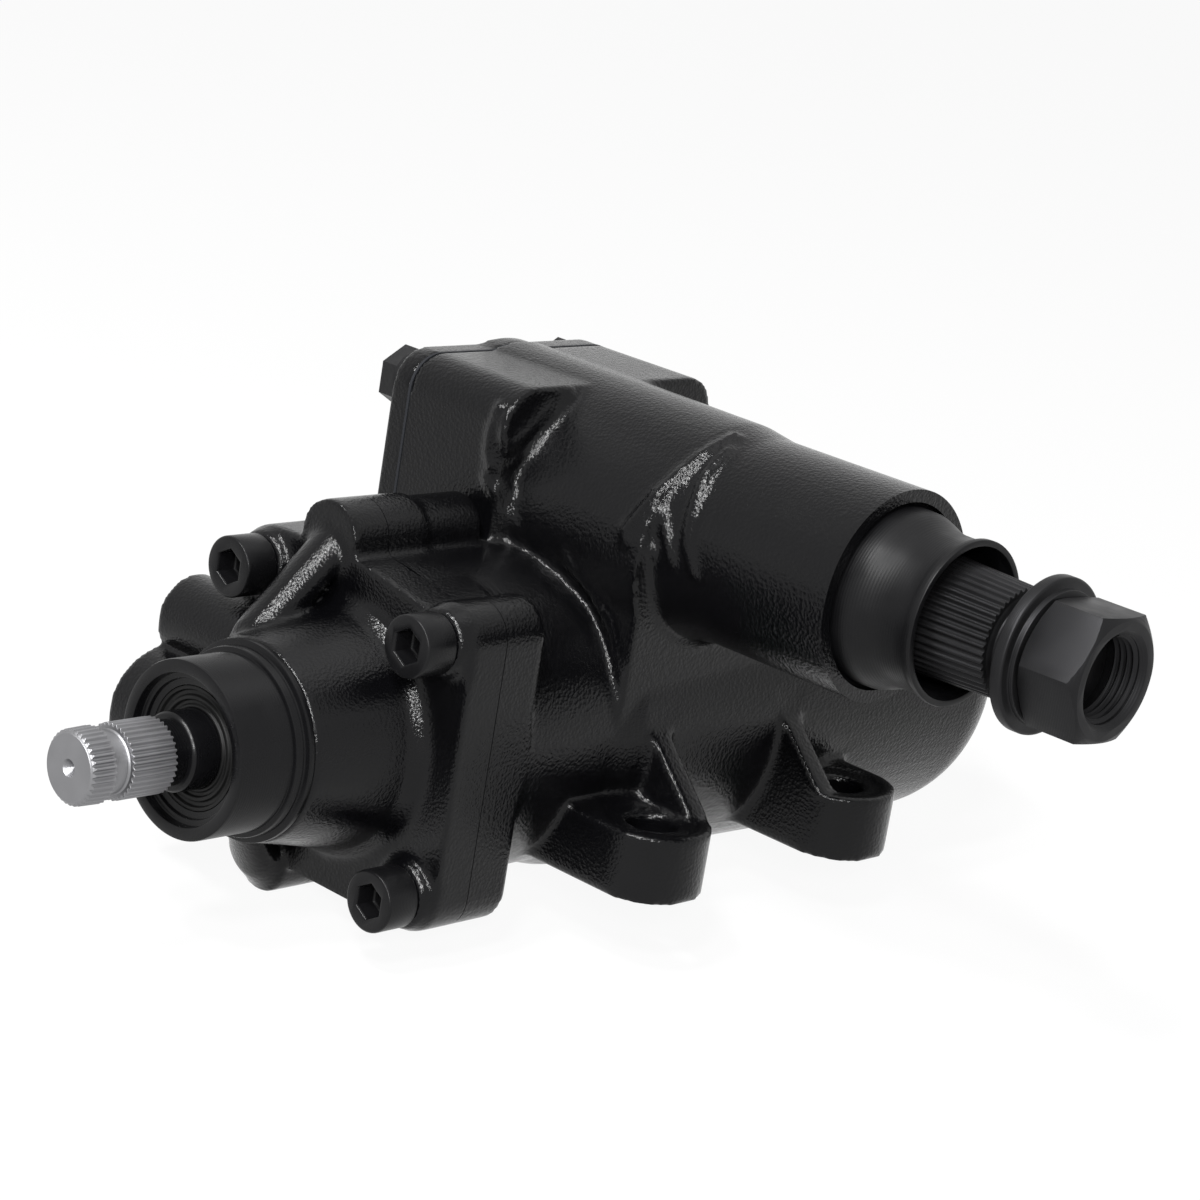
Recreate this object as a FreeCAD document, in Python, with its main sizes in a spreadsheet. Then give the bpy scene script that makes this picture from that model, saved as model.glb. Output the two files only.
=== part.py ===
# Recirculating-ball power steering gearbox.
#
# Frame: origin in the middle of the four mounting holes, on the mounting plane.
# +X along the pitman shaft, out of the output end. +Y along the worm, away from
# the input shaft. +Z up, square to the mounting plane. Millimetres.
#
# Most pieces are turned about one of two axes, so they are drawn in one of
# three local frames, each with its origin where the pitman shaft crosses over
# the worm:
#   cast frame    x, y, z as the part, on the worm's axis
#   worm frame    local Z runs along +Y, so a height is a distance along the worm
#   pitman frame  local Z runs along +X, local X points down to the rack

import FreeCAD, Part
import math
import os
import Sketcher

doc = FreeCAD.newDocument("steering_gearbox")
sheet = doc.addObject("Spreadsheet::Sheet", "Sizes")

SIZES = [
    # where the axes lie
    ("worm_height", 31.0),          # worm axis above the mounting plane
    ("pitman_shift", 10.0),         # pitman axis ahead of the middle of the lugs
    ("centre_distance", 57.0),      # worm axis to pitman axis
    # rack bore and main casting
    ("bore_r", 36.5),
    ("neck_r", 43.2),
    ("belly_r", 45.6),
    ("belly_end_r", 48.8),
    ("neck_end", -30.0),
    ("belly_start", -21.0),
    ("closed_end", 139.0),
    ("end_wall", 12.0),
    ("dome_r", 21.0),
    # valve cover joint, seen along the worm
    ("split", -76.6),
    ("housing_flange", 13.9),
    ("cover_flange", 11.6),
    ("screw_x", 33.5),
    ("screw_z", 33.2),
    ("lobe_r", 9.9),
    ("lobe_rise", 6.4),
    ("shelf_drop", 2.0),
    ("ridge_step", 1.0),            # the passage's ridge on the cylinder, smaller than its lobe
    ("ridge_end", -42.0),
    ("passage_x", -12.5),
    ("passage_z", 45.8),
    ("passage_r", 10.2),
    ("sump_x", -20.5),
    ("sump_z", -43.6),
    ("sump_r", 9.0),
    ("spigot_length", 5.0),
    ("spigot_gap", 0.05),
    ("seal_section", 1.4),
    # valve chamber
    ("valve_wall_r", 31.0),
    ("valve_root_r", 34.0),
    ("valve_root", 4.0),
    ("nose_ring_r", 23.84),
    ("rib_rise", 3.0),
    ("rib_r", 7.0),
    ("rib_end_r", 5.6),
    ("rib_front", -112.5),
    ("rib_end_z", 20.0),
    ("sump_bulge_r", 8.4),
    ("sump_middle", -93.0),
    ("sump_middle_z", -39.0),
    ("sump_front", -104.5),
    ("sump_front_x", -16.0),
    ("sump_front_z", -22.0),
    ("valve_front", -118.5),
    ("nose_r", 22.44),
    ("nose_face", -139.2),
    ("nose_shoulder", -122.9),
    ("step_r", 25.6),
    ("step_end", -120.0),
    ("valve_bore_r", 22.5),
    ("valve_bore_end", -113.0),
    # ports
    ("port_face", -57.0),
    ("pressure_y", -91.0),
    ("pressure_z", 12.0),
    ("pressure_boss_r", 11.4),
    ("pressure_bore_r", 7.2),
    ("return_y", -98.5),
    ("return_z", -12.0),
    ("return_boss_r", 16.6),
    ("return_bore_r", 8.2),
    ("port_depth", 16.0),
    ("port_thread", 10.0),
    ("seat_room_r", 6.0),
    ("port_drill_r", 3.6),
    ("drill_end_r", 18.0),
    ("seat_r", 5.4),
    ("seat_length", 5.4),
    ("seat_hole_r", 1.7),
    ("seat_tip_r", 2.5),
    ("seat_rim", 2.4),
    # sector chamber and its side cover
    ("chamber_r", 32.6),
    ("chamber_top_r", 23.6),
    ("chamber_end", 19.0),
    ("side_face", -40.0),
    ("side_block_end", -3.0),
    ("side_plate", 6.6),
    ("side_bolt_front", 29.5),
    ("side_bolt_rear", 30.0),
    ("side_bolt_top", 18.0),
    ("side_bolt_low", 29.0),
    ("side_lobe_r", 10.0),
    ("side_relief", 1.0),
    ("side_crown_r", 29.6),
    ("side_boss_r", 21.0),
    ("side_boss_reach", 17.0),
    ("side_boss_height", 5.5),
    ("side_boss_top_r", 16.0),
    ("side_boss_foot_r", 20.0),
    ("side_floor", 2.0),
    # output barrel
    ("belly_low_r", 36.5),          # sector chamber, round below and narrower on top
    ("belly_top_r", 30.2),
    ("belly_drop", 7.0),
    ("cone_low_r", 33.4),
    ("cone_top_r", 29.4),
    ("cone_drop", 5.5),
    ("cone_end", 43.0),
    ("barrel_start", 53.0),
    ("barrel_r", 27.9),
    ("barrel_end", 99.8),
    ("cheek_x", 43.0),
    ("cheek_front", -30.0),
    ("cheek_rear", 34.0),
    ("cheek_top", 40.0),
    ("bolt_boss_r", 9.5),
    ("bolt_boss_end", -10.5),
    # mounting lugs
    ("lug_x", 58.0),
    ("lug_y", 38.0),
    ("lug_r", 15.6),
    ("lug_thick", 18.0),
    ("lug_hole_r", 6.6),
    ("spot_r", 12.5),
    ("spot_depth", 1.0),
    ("web_thick", 7.0),
    ("web_top", 5.0),
    ("web_foot", 64.0),
    ("lug_root", 13.0),             # where lugs and webs start, inside the cylinder
    # pitman shaft
    ("shaft_r", 17.5),
    ("shaft_clear_r", 19.5),
    ("running_gap", 0.05),
    ("bearing_r", 22.0),
    ("bearing_length", 22.0),
    ("inner_bearing_at", 24.0),
    ("outer_bearing_at", 62.0),
    ("seal_at", 84.0),
    ("seal_length", 7.0),
    ("seal_r", 22.0),
    ("clip_at", 91.6),
    ("clip_thick", 1.8),
    ("clip_r", 23.4),
    ("clip_inner_r", 19.5),
    ("clip_gap", 7.0),
    ("cup_seat_r", 24.6),
    ("cup_seat_depth", 4.0),
    ("cup_wall", 1.6),
    ("cup_neck_r", 20.4),
    ("cup_flare_r", 21.5),
    ("cup_waist_reach", 12.2),
    ("cup_lip_reach", 6.5),
    ("cup_flare_reach", 4.0),
    ("spline_gap", 4.2),            # from the barrel to the serration
    ("spline_length", 37.0),
    ("undercut_length", 4.0),
    ("spline_big_r", 15.9),
    ("spline_small_r", 14.4),
    ("thread_r", 11.1),
    ("thread_length", 12.0),
    ("washer_thick", 5.2),
    ("washer_r", 20.0),
    ("nut_flats", 31.2),
    ("nut_thick", 17.4),
    ("nut_gap", 0.12),
    ("nut_chamfer", 2.9),
    ("nut_face_r", 15.0),
    ("nut_corner_r", 20.0),
    ("nut_mouth", 1.4),
    ("nut_turn", 27.0),             # degrees, as it was tightened
    ("stub_r", 13.5),
    ("stub_end", -38.5),
    ("slot_lip", 2.5),
    ("slot_depth", 3.3),
    ("slot_play", 0.1),
    ("slot_side", 0.15),
    ("edge_break", 1.0),            # small chamfer on turned ends
    ("bushing_r", 16.5),
    ("bushing_length", 15.0),
    # sector and rack teeth
    ("module_size", 5.5),
    ("sector_count", 10.0),
    ("pressure_angle", 25.0),
    ("addendum_share", 0.8),
    ("backlash", 0.16),
    ("root_gap", 1.2),
    ("sector_width", 33.0),
    # rack piston
    ("piston_gap", 0.06),
    ("piston_front", -50.0),
    ("piston_rear", 86.0),
    ("flat_end", 40.0),
    ("flat_runout", 49.0),
    ("piston_bore_r", 13.4),
    ("ring_at", 70.0),
    ("ring_width", 4.0),
    ("ring_depth", 3.0),
    ("plug_r", 24.0),
    ("plug_length", 12.0),
    ("plug_key", 13.0),
    ("guide_r", 4.2),
    ("guide_floor", 22.0),
    ("guide_seat", 10.0),
    ("strap_width", 10.0),
    ("strap_thick", 1.4),
    # worm, balls and valve
    ("lead", 12.7),
    ("ball_circle_r", 13.0),
    ("ball_r", 3.175),
    ("ball_gap", 0.1),
    ("ball_count", 24.0),
    ("ball_turns", 2.0),
    ("worm_r", 12.5),
    ("worm_end", 44.0),
    ("worm_thread_start", -42.0),
    ("worm_flange_r", 19.0),
    ("worm_flange", 2.0),
    ("worm_neck_r", 11.0),
    ("neck_taper", 3.0),
    ("worm_journal_r", 14.0),
    ("worm_groove_turns", 7.0),
    ("worm_bearing_at", -86.0),
    ("worm_bearing_length", 9.0),
    ("worm_bearing_r", 26.0),
    ("race_inner_r", 18.2),
    ("race_outer_r", 21.8),
    ("race_circle_r", 20.0),
    ("race_ball_r", 3.0),
    ("race_ball_count", 12.0),
    ("retainer_r", 16.0),
    ("retainer_length", 4.0),
    ("valve_body_at", -112.0),
    ("valve_body_length", 24.0),
    ("valve_ring_pitch", 6.4),
    ("valve_ring_width", 1.6),
    ("valve_ring_depth", 1.8),
    ("valve_oil_width", 2.0),
    ("spool_r", 13.0),
    ("spool_start", -112.4),
    ("spool_slots", 6.0),
    ("spool_slot_r", 2.2),
    ("spool_slot_at", 13.6),
    ("spool_slot_low", -108.0),
    ("spool_slot_high", -97.0),
    ("spool_end", -94.0),
    ("stub_start", -93.0),
    ("torsion_r", 3.0),
    ("torsion_play", 0.4),
    ("torsion_grip_end", -154.0),
    ("torsion_start", -166.0),
    ("torsion_end", -75.0),
    # input shaft
    ("input_tip", -173.2),
    ("input_spline_r", 9.5),
    ("input_spline_end", -147.1),
    ("clamp_groove_at", -163.5),
    ("clamp_groove_width", 5.0),
    ("clamp_groove_r", 7.6),
    ("input_neck_r", 8.2),
    ("input_collar", -143.4),
    ("input_journal_r", 10.0),
    ("journal_clear", 1.0),
    ("seat_wall", 1.0),             # web between the input's bearing and its seal
    ("input_bearing_r", 14.0),
    ("input_bearing_length", 11.0),
    ("input_seal_length", 7.0),
    ("input_seal_r", 15.5),
    ("input_clip_r", 17.0),
    ("input_clip_inner_r", 12.0),
    ("input_clip_thick", 1.6),
    ("nose_recess_r", 19.0),
    ("nose_recess_depth", 2.6),
    ("nose_step_r", 17.4),
    ("nose_step_depth", 1.2),
    # fasteners
    ("screw_r", 5.0),
    ("screw_head_r", 8.0),
    ("screw_head", 10.0),
    ("screw_bite", 12.6),
    ("screw_key", 8.0),
    ("spot_boss_r", 8.9),
    ("spot_boss", 3.4),
    ("hex_flats", 15.0),
    ("hex_head", 7.0),
    ("side_bolt_r", 5.0),
    ("side_bolt_bite", 10.4),
    ("hole_gap", 0.5),
    ("thread_gap", 0.05),
    ("head_chamfer", 0.8),
    ("socket_share", 0.6),
    ("head_room", 14.0),
    ("collar_r", 8.7),
    ("collar", 1.4),
    ("adjuster_r", 5.0),
    ("adjuster_out", 14.0),
    ("adjuster_head_r", 8.0),
    ("adjuster_head", 3.0),
    ("locknut_flats", 17.0),
    ("locknut_thick", 6.5),
    ("gasket_thick", 0.8),
]

for row, (name, number) in enumerate(SIZES, start=1):
    sheet.set(f"A{row}", name)
    sheet.set(f"B{row}", str(number))
    sheet.setAlias(f"B{row}", name)
doc.recompute()


class Size:
    """A length of the sheet, or a sum of such lengths, with its value now."""

    def __init__(self, value, text):
        self.value = value
        self.text = text

    def __add__(self, other):
        other = as_size(other)
        return Size(self.value + other.value, f"({self.text} + {other.text})")

    def __sub__(self, other):
        other = as_size(other)
        return Size(self.value - other.value, f"({self.text} - {other.text})")

    def __mul__(self, other):
        other = as_size(other)
        return Size(self.value * other.value, f"({self.text} * {other.text})")

    def __truediv__(self, other):
        other = as_size(other)
        return Size(self.value / other.value, f"({self.text} / {other.text})")

    def __neg__(self):
        return Size(-self.value, f"(0 - {self.text})")


def as_size(number):
    return number if isinstance(number, Size) else Size(float(number), f"({float(number)})")


class Sheet:
    """The sheet's cells by name, as sizes that can be added and bound."""

    def __getattr__(self, name):
        return Size(float(sheet.get(name)), f"Sizes.{name}")


d = Sheet()
ZERO = as_size(0)

# stations along the pitman shaft, each from the one before it
cup_waist = d.barrel_end + d.cup_waist_reach
cup_lip = cup_waist + d.cup_lip_reach
cup_end = cup_lip + d.cup_flare_reach
spline_start = d.barrel_end + d.spline_gap
spline_end = spline_start + d.spline_length
washer_at = spline_end + d.undercut_length
thread_end = washer_at + d.thread_length

TO_WORM = FreeCAD.Rotation(FreeCAD.Vector(1, 0, 0), -90)
TO_PITMAN = FreeCAD.Rotation(FreeCAD.Vector(0, 1, 0), 90)
UPRIGHT = FreeCAD.Rotation()


def place(item, rotation, x, y, z):
    """Turns an object and binds where its origin lies."""
    item.Placement = FreeCAD.Placement(FreeCAD.Vector(x.value, y.value, z.value), rotation)
    for axis, size in (("x", x), ("y", y), ("z", z)):
        item.setExpression(f"Placement.Base.{axis}", size.text)


def on_cast(item):
    place(item, UPRIGHT, ZERO, -d.pitman_shift, d.worm_height)


def on_worm(item):
    place(item, TO_WORM, ZERO, -d.pitman_shift, d.worm_height)


def on_pitman(item):
    place(item, TO_PITMAN, ZERO, -d.pitman_shift, d.worm_height + d.centre_distance)


def on_nut(item):
    """The pitman frame, turned to where the nut stopped."""
    on_pitman(item)
    turned = TO_PITMAN.multiply(FreeCAD.Rotation(FreeCAD.Vector(0, 0, 1), d.nut_turn.value))
    item.Placement = FreeCAD.Placement(item.Placement.Base, turned)


def new_body(label, put):
    body = doc.addObject("PartDesign::Body", label)
    body.Label = label
    put(body)
    return body


def new_sketch(body, plane, offset=None):
    """A sketch on one of the body's own planes, shifted along that plane's normal."""
    sketch = body.newObject("Sketcher::SketchObject", body.Name + "_sketch")
    origin_plane = next(item for item in body.Origin.OriginFeatures if item.Role == plane)
    sketch.AttachmentSupport = [(origin_plane, "")]
    sketch.MapMode = "FlatFace"
    if offset is not None:
        sketch.AttachmentOffset.Base.z = offset.value
        sketch.setExpression("AttachmentOffset.Base.z", offset.text)
    return sketch


def fix_point(sketch, geometry, end, x, y):
    """Holds one point of a sketch at bound distances from its origin."""
    for kind, size, axis in (("DistanceX", x, -2), ("DistanceY", y, -1)):
        if size is ZERO:
            sketch.addConstraint(Sketcher.Constraint("PointOnObject", geometry, end, axis))
        else:
            rule = Sketcher.Constraint(kind, -1, 1, geometry, end, size.value)
            index = sketch.addConstraint(rule)
            sketch.setExpression(f"Constraints[{index}]", size.text)


def draw_loop(sketch, points):
    """A closed outline of straight lines through bound corners."""
    points = [(as_size(x) if x != 0 else ZERO, as_size(y) if y != 0 else ZERO) for x, y in points]
    first = sketch.GeometryCount
    spots = [FreeCAD.Vector(x.value, y.value, 0) for x, y in points]
    for start, end in zip(spots, spots[1:] + spots[:1]):
        sketch.addGeometry(Part.LineSegment(start, end))
    count = len(points)
    for step, (x, y) in enumerate(points):
        line = first + step
        after = first + (step + 1) % count
        sketch.addConstraint(Sketcher.Constraint("Coincident", line, 2, after, 1))
        fix_point(sketch, line, 1, x, y)


def draw_circles(sketch, circles):
    for x, y, radius in circles:
        centre = FreeCAD.Vector(x.value, y.value, 0)
        ring = sketch.addGeometry(Part.Circle(centre, FreeCAD.Vector(0, 0, 1), radius.value))
        fix_point(sketch, ring, 3, x, y)
        index = sketch.addConstraint(Sketcher.Constraint("Radius", ring, radius.value))
        sketch.setExpression(f"Constraints[{index}]", radius.text)


def draw_half(sketch, x, y, radius, side="right"):
    """The half of a circle that lies to the right of its centre, or below it."""
    centre = FreeCAD.Vector(x.value, y.value, 0)
    circle = Part.Circle(centre, FreeCAD.Vector(0, 0, 1), radius.value)
    begin = -math.pi / 2 if side == "right" else math.pi
    arc = sketch.addGeometry(Part.ArcOfCircle(circle, begin, begin + math.pi))
    line = sketch.addGeometry(Part.LineSegment(sketch.getPoint(arc, 2), sketch.getPoint(arc, 1)))
    sketch.addConstraint(Sketcher.Constraint("Coincident", arc, 2, line, 1))
    sketch.addConstraint(Sketcher.Constraint("Coincident", line, 2, arc, 1))
    sketch.addConstraint(Sketcher.Constraint("Vertical" if side == "right" else "Horizontal", line))
    sketch.addConstraint(Sketcher.Constraint("PointOnObject", arc, 3, line))
    fix_point(sketch, arc, 3, x, y)
    index = sketch.addConstraint(Sketcher.Constraint("Radius", arc, radius.value))
    sketch.setExpression(f"Constraints[{index}]", radius.text)


def draw_belt(sketch, circles):
    """An outline that runs round the outside of circles, like a belt round pulleys."""
    count = len(circles)
    leave = []
    arrive = []
    for step in range(count):
        ax, ay, ar = (size.value for size in circles[step])
        bx, by, br = (size.value for size in circles[(step + 1) % count])
        span = math.hypot(bx - ax, by - ay)
        turn = math.atan2(by - ay, bx - ax) - math.acos((ar - br) / span)
        leave.append(turn)
        arrive.append(turn)
    arrive = arrive[-1:] + arrive[:-1]
    arcs = []
    lines = []
    for (x, y, radius), begin, finish in zip(circles, arrive, leave):
        while finish <= begin:
            finish += 2 * math.pi
        centre = FreeCAD.Vector(x.value, y.value, 0)
        circle = Part.Circle(centre, FreeCAD.Vector(0, 0, 1), radius.value)
        arcs.append(sketch.addGeometry(Part.ArcOfCircle(circle, begin, finish)))
    for step in range(count):
        start = sketch.getPoint(arcs[step], 2)
        end = sketch.getPoint(arcs[(step + 1) % count], 1)
        lines.append(sketch.addGeometry(Part.LineSegment(start, end)))
    for step in range(count):
        after = arcs[(step + 1) % count]
        sketch.addConstraint(Sketcher.Constraint("Tangent", arcs[step], 2, lines[step], 1))
        sketch.addConstraint(Sketcher.Constraint("Tangent", lines[step], 2, after, 1))
    for arc, (x, y, radius) in zip(arcs, circles):
        fix_point(sketch, arc, 3, x, y)
        index = sketch.addConstraint(Sketcher.Constraint("Radius", arc, radius.value))
        sketch.setExpression(f"Constraints[{index}]", radius.text)


def spin(body, kind, sketch, axis):
    feature = body.newObject(kind, body.Name + "_turn")
    feature.Profile = sketch
    feature.ReferenceAxis = (sketch, [axis])
    feature.Angle = 360
    return feature


def turn(body, points, kind="PartDesign::Revolution"):
    """Turns a half outline, given as radius and height, about the body's Z axis."""
    sketch = new_sketch(body, "XZ_Plane")
    draw_loop(sketch, points)
    return spin(body, kind, sketch, "V_Axis")


def thicken(body, kind, sketch, length, reverse=False):
    feature = body.newObject(kind, body.Name + "_push")
    feature.Profile = sketch
    feature.Length = length.value
    feature.setExpression("Length", length.text)
    feature.Reversed = reverse
    return feature


def pad(body, sketch, length, reverse=False):
    return thicken(body, "PartDesign::Pad", sketch, length, reverse)


def pocket(body, sketch, depth, reverse=False):
    return thicken(body, "PartDesign::Pocket", sketch, depth, reverse)


def ring_body(label, put, inner, outer, low, high):
    """A plain ring or sleeve."""
    body = new_body(label, put)
    turn(body, [(inner, low), (outer, low), (outer, high), (inner, high)])
    return body


def hexagon(sketch, flats, x=ZERO, y=ZERO):
    """A hexagon of a given size across its flats."""
    half = flats / 2
    corner = flats * (0.5 / math.cos(math.radians(30)))
    side = corner / 2
    points = [(corner, 0), (side, half), (-side, half), (-corner, 0), (-side, -half), (side, -half)]
    draw_loop(sketch, [(x + a if x is not ZERO else a, y + b if y is not ZERO else b) for a, b in points])


def copies(label, master, rotation, spots):
    """One node of equal pieces: links to a master, each at its own bound place."""
    links = []
    for x, y, z in spots:
        link = doc.addObject("App::Link", master.Name + "_copy")
        link.LinkedObject = master
        link.LinkTransform = False
        place(link, rotation, x, y, z)
        links.append(link)
    group = doc.addObject("Part::Compound", label)
    group.Label = label
    group.Links = links
    return group


SCREW_SPOTS = [(sx, sz) for sx in (1, -1) for sz in (1, -1)]


def screw_circles(radius):
    return [(d.screw_x * sx, d.screw_z * sz, radius) for sx, sz in SCREW_SPOTS]


def valve_flange(body, back, thickness):
    """The outline that valve cover and housing share: four lobes, an oil passage and a sump."""
    edge_x = d.screw_x + d.lobe_r
    low_z = -d.screw_z - d.lobe_r
    shelf = d.passage_z - d.shelf_drop
    sketch = new_sketch(body, "XZ_Plane", -back)
    draw_loop(sketch, [
        (-edge_x, -d.screw_z), (-d.screw_x, low_z), (d.screw_x, low_z), (edge_x, -d.screw_z),
        (edge_x, d.screw_z), (d.screw_x - d.lobe_r, d.screw_z + d.lobe_rise),
        (d.passage_x + d.passage_r, shelf),
        (d.passage_x - d.passage_r, shelf), (-d.screw_x, d.screw_z + d.lobe_r), (-edge_x, d.screw_z),
    ])
    pad(body, sketch, thickness)
    lobes = new_sketch(body, "XZ_Plane", -back)
    draw_circles(lobes, screw_circles(d.lobe_r))
    draw_circles(lobes, [(d.passage_x, d.passage_z, d.passage_r), (d.sump_x, d.sump_z, d.sump_r)])
    pad(body, lobes, thickness)


def round_edges(body, kind, size, test):
    """Fillets or chamfers the edges of the body so far that a test picks."""
    doc.recompute()
    base = body.Tip
    names = [f"Edge{n}" for n, edge in enumerate(base.Shape.Edges, start=1) if test(edge)]
    feature = body.newObject(kind, body.Name + "_round")
    feature.Base = (base, names)
    bound = "Radius" if kind.endswith("Fillet") else "Size"
    setattr(feature, bound, size.value)
    feature.setExpression(bound, size.text)
    return feature


def near(value, size, slack=0.01):
    return abs(value - size.value) < slack


def is_ring(edge, radius, axis, level):
    """Whether an edge is a circle of a radius, at a level along one axis."""
    curve = edge.Curve
    if not isinstance(curve, Part.Circle):
        return False
    return near(curve.Radius, radius) and near(getattr(curve.Center, axis), level)


def cast_section(body, x, low_r, top_r, drop):
    """One section of the sector chamber: a big circle below a smaller one."""
    sketch = new_sketch(body, "YZ_Plane", x)
    draw_belt(sketch, [(ZERO, d.centre_distance - drop, low_r), (ZERO, d.centre_distance, top_r)])
    return sketch


def side_bolts():
    """The four side cover bolts as Y and height above the worm, counter-clockwise."""
    top = d.centre_distance + d.side_bolt_top
    low = d.centre_distance - d.side_bolt_low
    front = -d.side_bolt_front
    return [(front, low), (d.side_bolt_rear, low), (d.side_bolt_rear, top), (front, top)]


def side_outline(body, x, thickness):
    """The side cover's outline, with a crown over the shaft, pushed along +X from a plane."""
    plate = new_sketch(body, "YZ_Plane", x)
    draw_belt(plate, [(y, z, d.side_lobe_r) for y, z in side_bolts()])
    pad(body, plate, thickness)
    crown = new_sketch(body, "YZ_Plane", x)
    draw_circles(crown, [(ZERO, d.centre_distance, d.side_crown_r)])
    pad(body, crown, thickness)


def taper(body, stations):
    """A passage's bulge: round sections along the worm, joined by straight lines."""
    sections = []
    for along, x, z, radius in stations:
        sketch = new_sketch(body, "XZ_Plane", -along)
        draw_circles(sketch, [(x, z, radius)])
        sections.append(sketch)
    loft = body.newObject("PartDesign::AdditiveLoft", body.Name + "_bulge")
    loft.Profile = sections[0]
    loft.Sections = sections[1:]
    loft.Ruled = True


def turn_about_pitman(body, kind, points):
    """Turns a half outline, given as X and radius, about the pitman axis of the cast frame."""
    sketch = new_sketch(body, "XZ_Plane")
    draw_loop(sketch, [(x, d.centre_distance + r) for x, r in points])
    level = d.centre_distance
    ends = [FreeCAD.Vector(x.value, level.value, 0) for x in (ZERO, d.cone_end)]
    axis = Part.LineSegment(*ends)
    line = sketch.addGeometry(axis, True)
    fix_point(sketch, line, 1, ZERO, level)
    fix_point(sketch, line, 2, d.cone_end, level)
    return spin(body, kind, sketch, "Axis0")


def turn_about_worm(body, kind, points):
    """Turns a half outline, given as Y and radius, about the worm axis of the cast frame."""
    sketch = new_sketch(body, "YZ_Plane")
    draw_loop(sketch, points)
    return spin(body, kind, sketch, "H_Axis")


LUG_SPOTS = [(sx, sy) for sx in (1, -1) for sy in (1, -1)]


def gear_housing():
    """The main casting: rack cylinder, sector chamber, output barrel and four lugs."""
    body = new_body("gear_housing", on_cast)
    turn_about_worm(body, "PartDesign::Revolution", [
        (d.split, 0), (d.split, d.neck_r), (d.neck_end, d.neck_r), (d.belly_start, d.belly_r),
        (d.closed_end - d.dome_r, d.belly_end_r), (d.closed_end, d.belly_end_r), (d.closed_end, 0),
    ])
    round_edges(body, "PartDesign::Fillet", d.dome_r, lambda e: is_ring(e, d.belly_end_r, "y", d.closed_end))

    valve_flange(body, d.split + d.housing_flange, d.housing_flange)
    passage = new_sketch(body, "XZ_Plane", -d.split)
    draw_circles(passage, [(d.passage_x, d.passage_z, d.passage_r - d.ridge_step)])
    pad(body, passage, d.ridge_end - d.split, True)

    side_outline(body, d.side_face, d.side_block_end - d.side_face)
    bosses = new_sketch(body, "YZ_Plane", d.side_face)
    top = d.centre_distance + d.side_bolt_top
    draw_circles(bosses, [(d.side_bolt_rear, top, d.bolt_boss_r), (-d.side_bolt_front, top, d.bolt_boss_r)])
    pad(body, bosses, d.bolt_boss_end - d.side_face)

    start = cast_section(body, d.side_face, d.belly_low_r, d.belly_top_r, d.belly_drop)
    end = cast_section(body, d.cone_end, d.cone_low_r, d.cone_top_r, d.cone_drop)
    cone = body.newObject("PartDesign::AdditiveLoft", "chamber_cone")
    cone.Profile = start
    cone.Sections = [end]
    cone.Ruled = True
    turn_about_pitman(body, "PartDesign::Revolution", [
        (ZERO, ZERO), (ZERO, d.shaft_clear_r), (d.cone_end, d.cone_top_r), (d.barrel_start, d.barrel_r),
        (d.barrel_end, d.barrel_r), (d.barrel_end, ZERO),
    ])

    cheek = new_sketch(body, "XY_Plane", ZERO)
    draw_loop(cheek, [
        (-d.cheek_x, d.cheek_front), (d.cheek_x, d.cheek_front), (d.cheek_x, d.cheek_rear),
        (-d.cheek_x, d.cheek_rear),
    ])
    pad(body, cheek, d.cheek_top)

    lug_low = -d.worm_height
    for sx, sy in LUG_SPOTS:
        x = d.lug_x * sx
        y = d.pitman_shift + d.lug_y * sy
        foot = new_sketch(body, "XY_Plane", lug_low)
        loop = [(d.lug_root * sx, y, d.lug_r), (x, y, d.lug_r)]
        draw_belt(foot, loop)
        pad(body, foot, d.lug_thick)
        outer_side = y - d.lug_r * sy
        web = new_sketch(body, "XZ_Plane", -outer_side if sy > 0 else -(outer_side - d.web_thick))
        draw_loop(web, [
            (d.lug_root * sx, lug_low + d.lug_thick), (d.web_foot * sx, lug_low + d.lug_thick),
            (d.belly_r * sx, d.web_top), (d.lug_root * sx, d.web_top),
        ])
        pad(body, web, d.web_thick, True)

    cut_housing(body)
    return body


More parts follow.
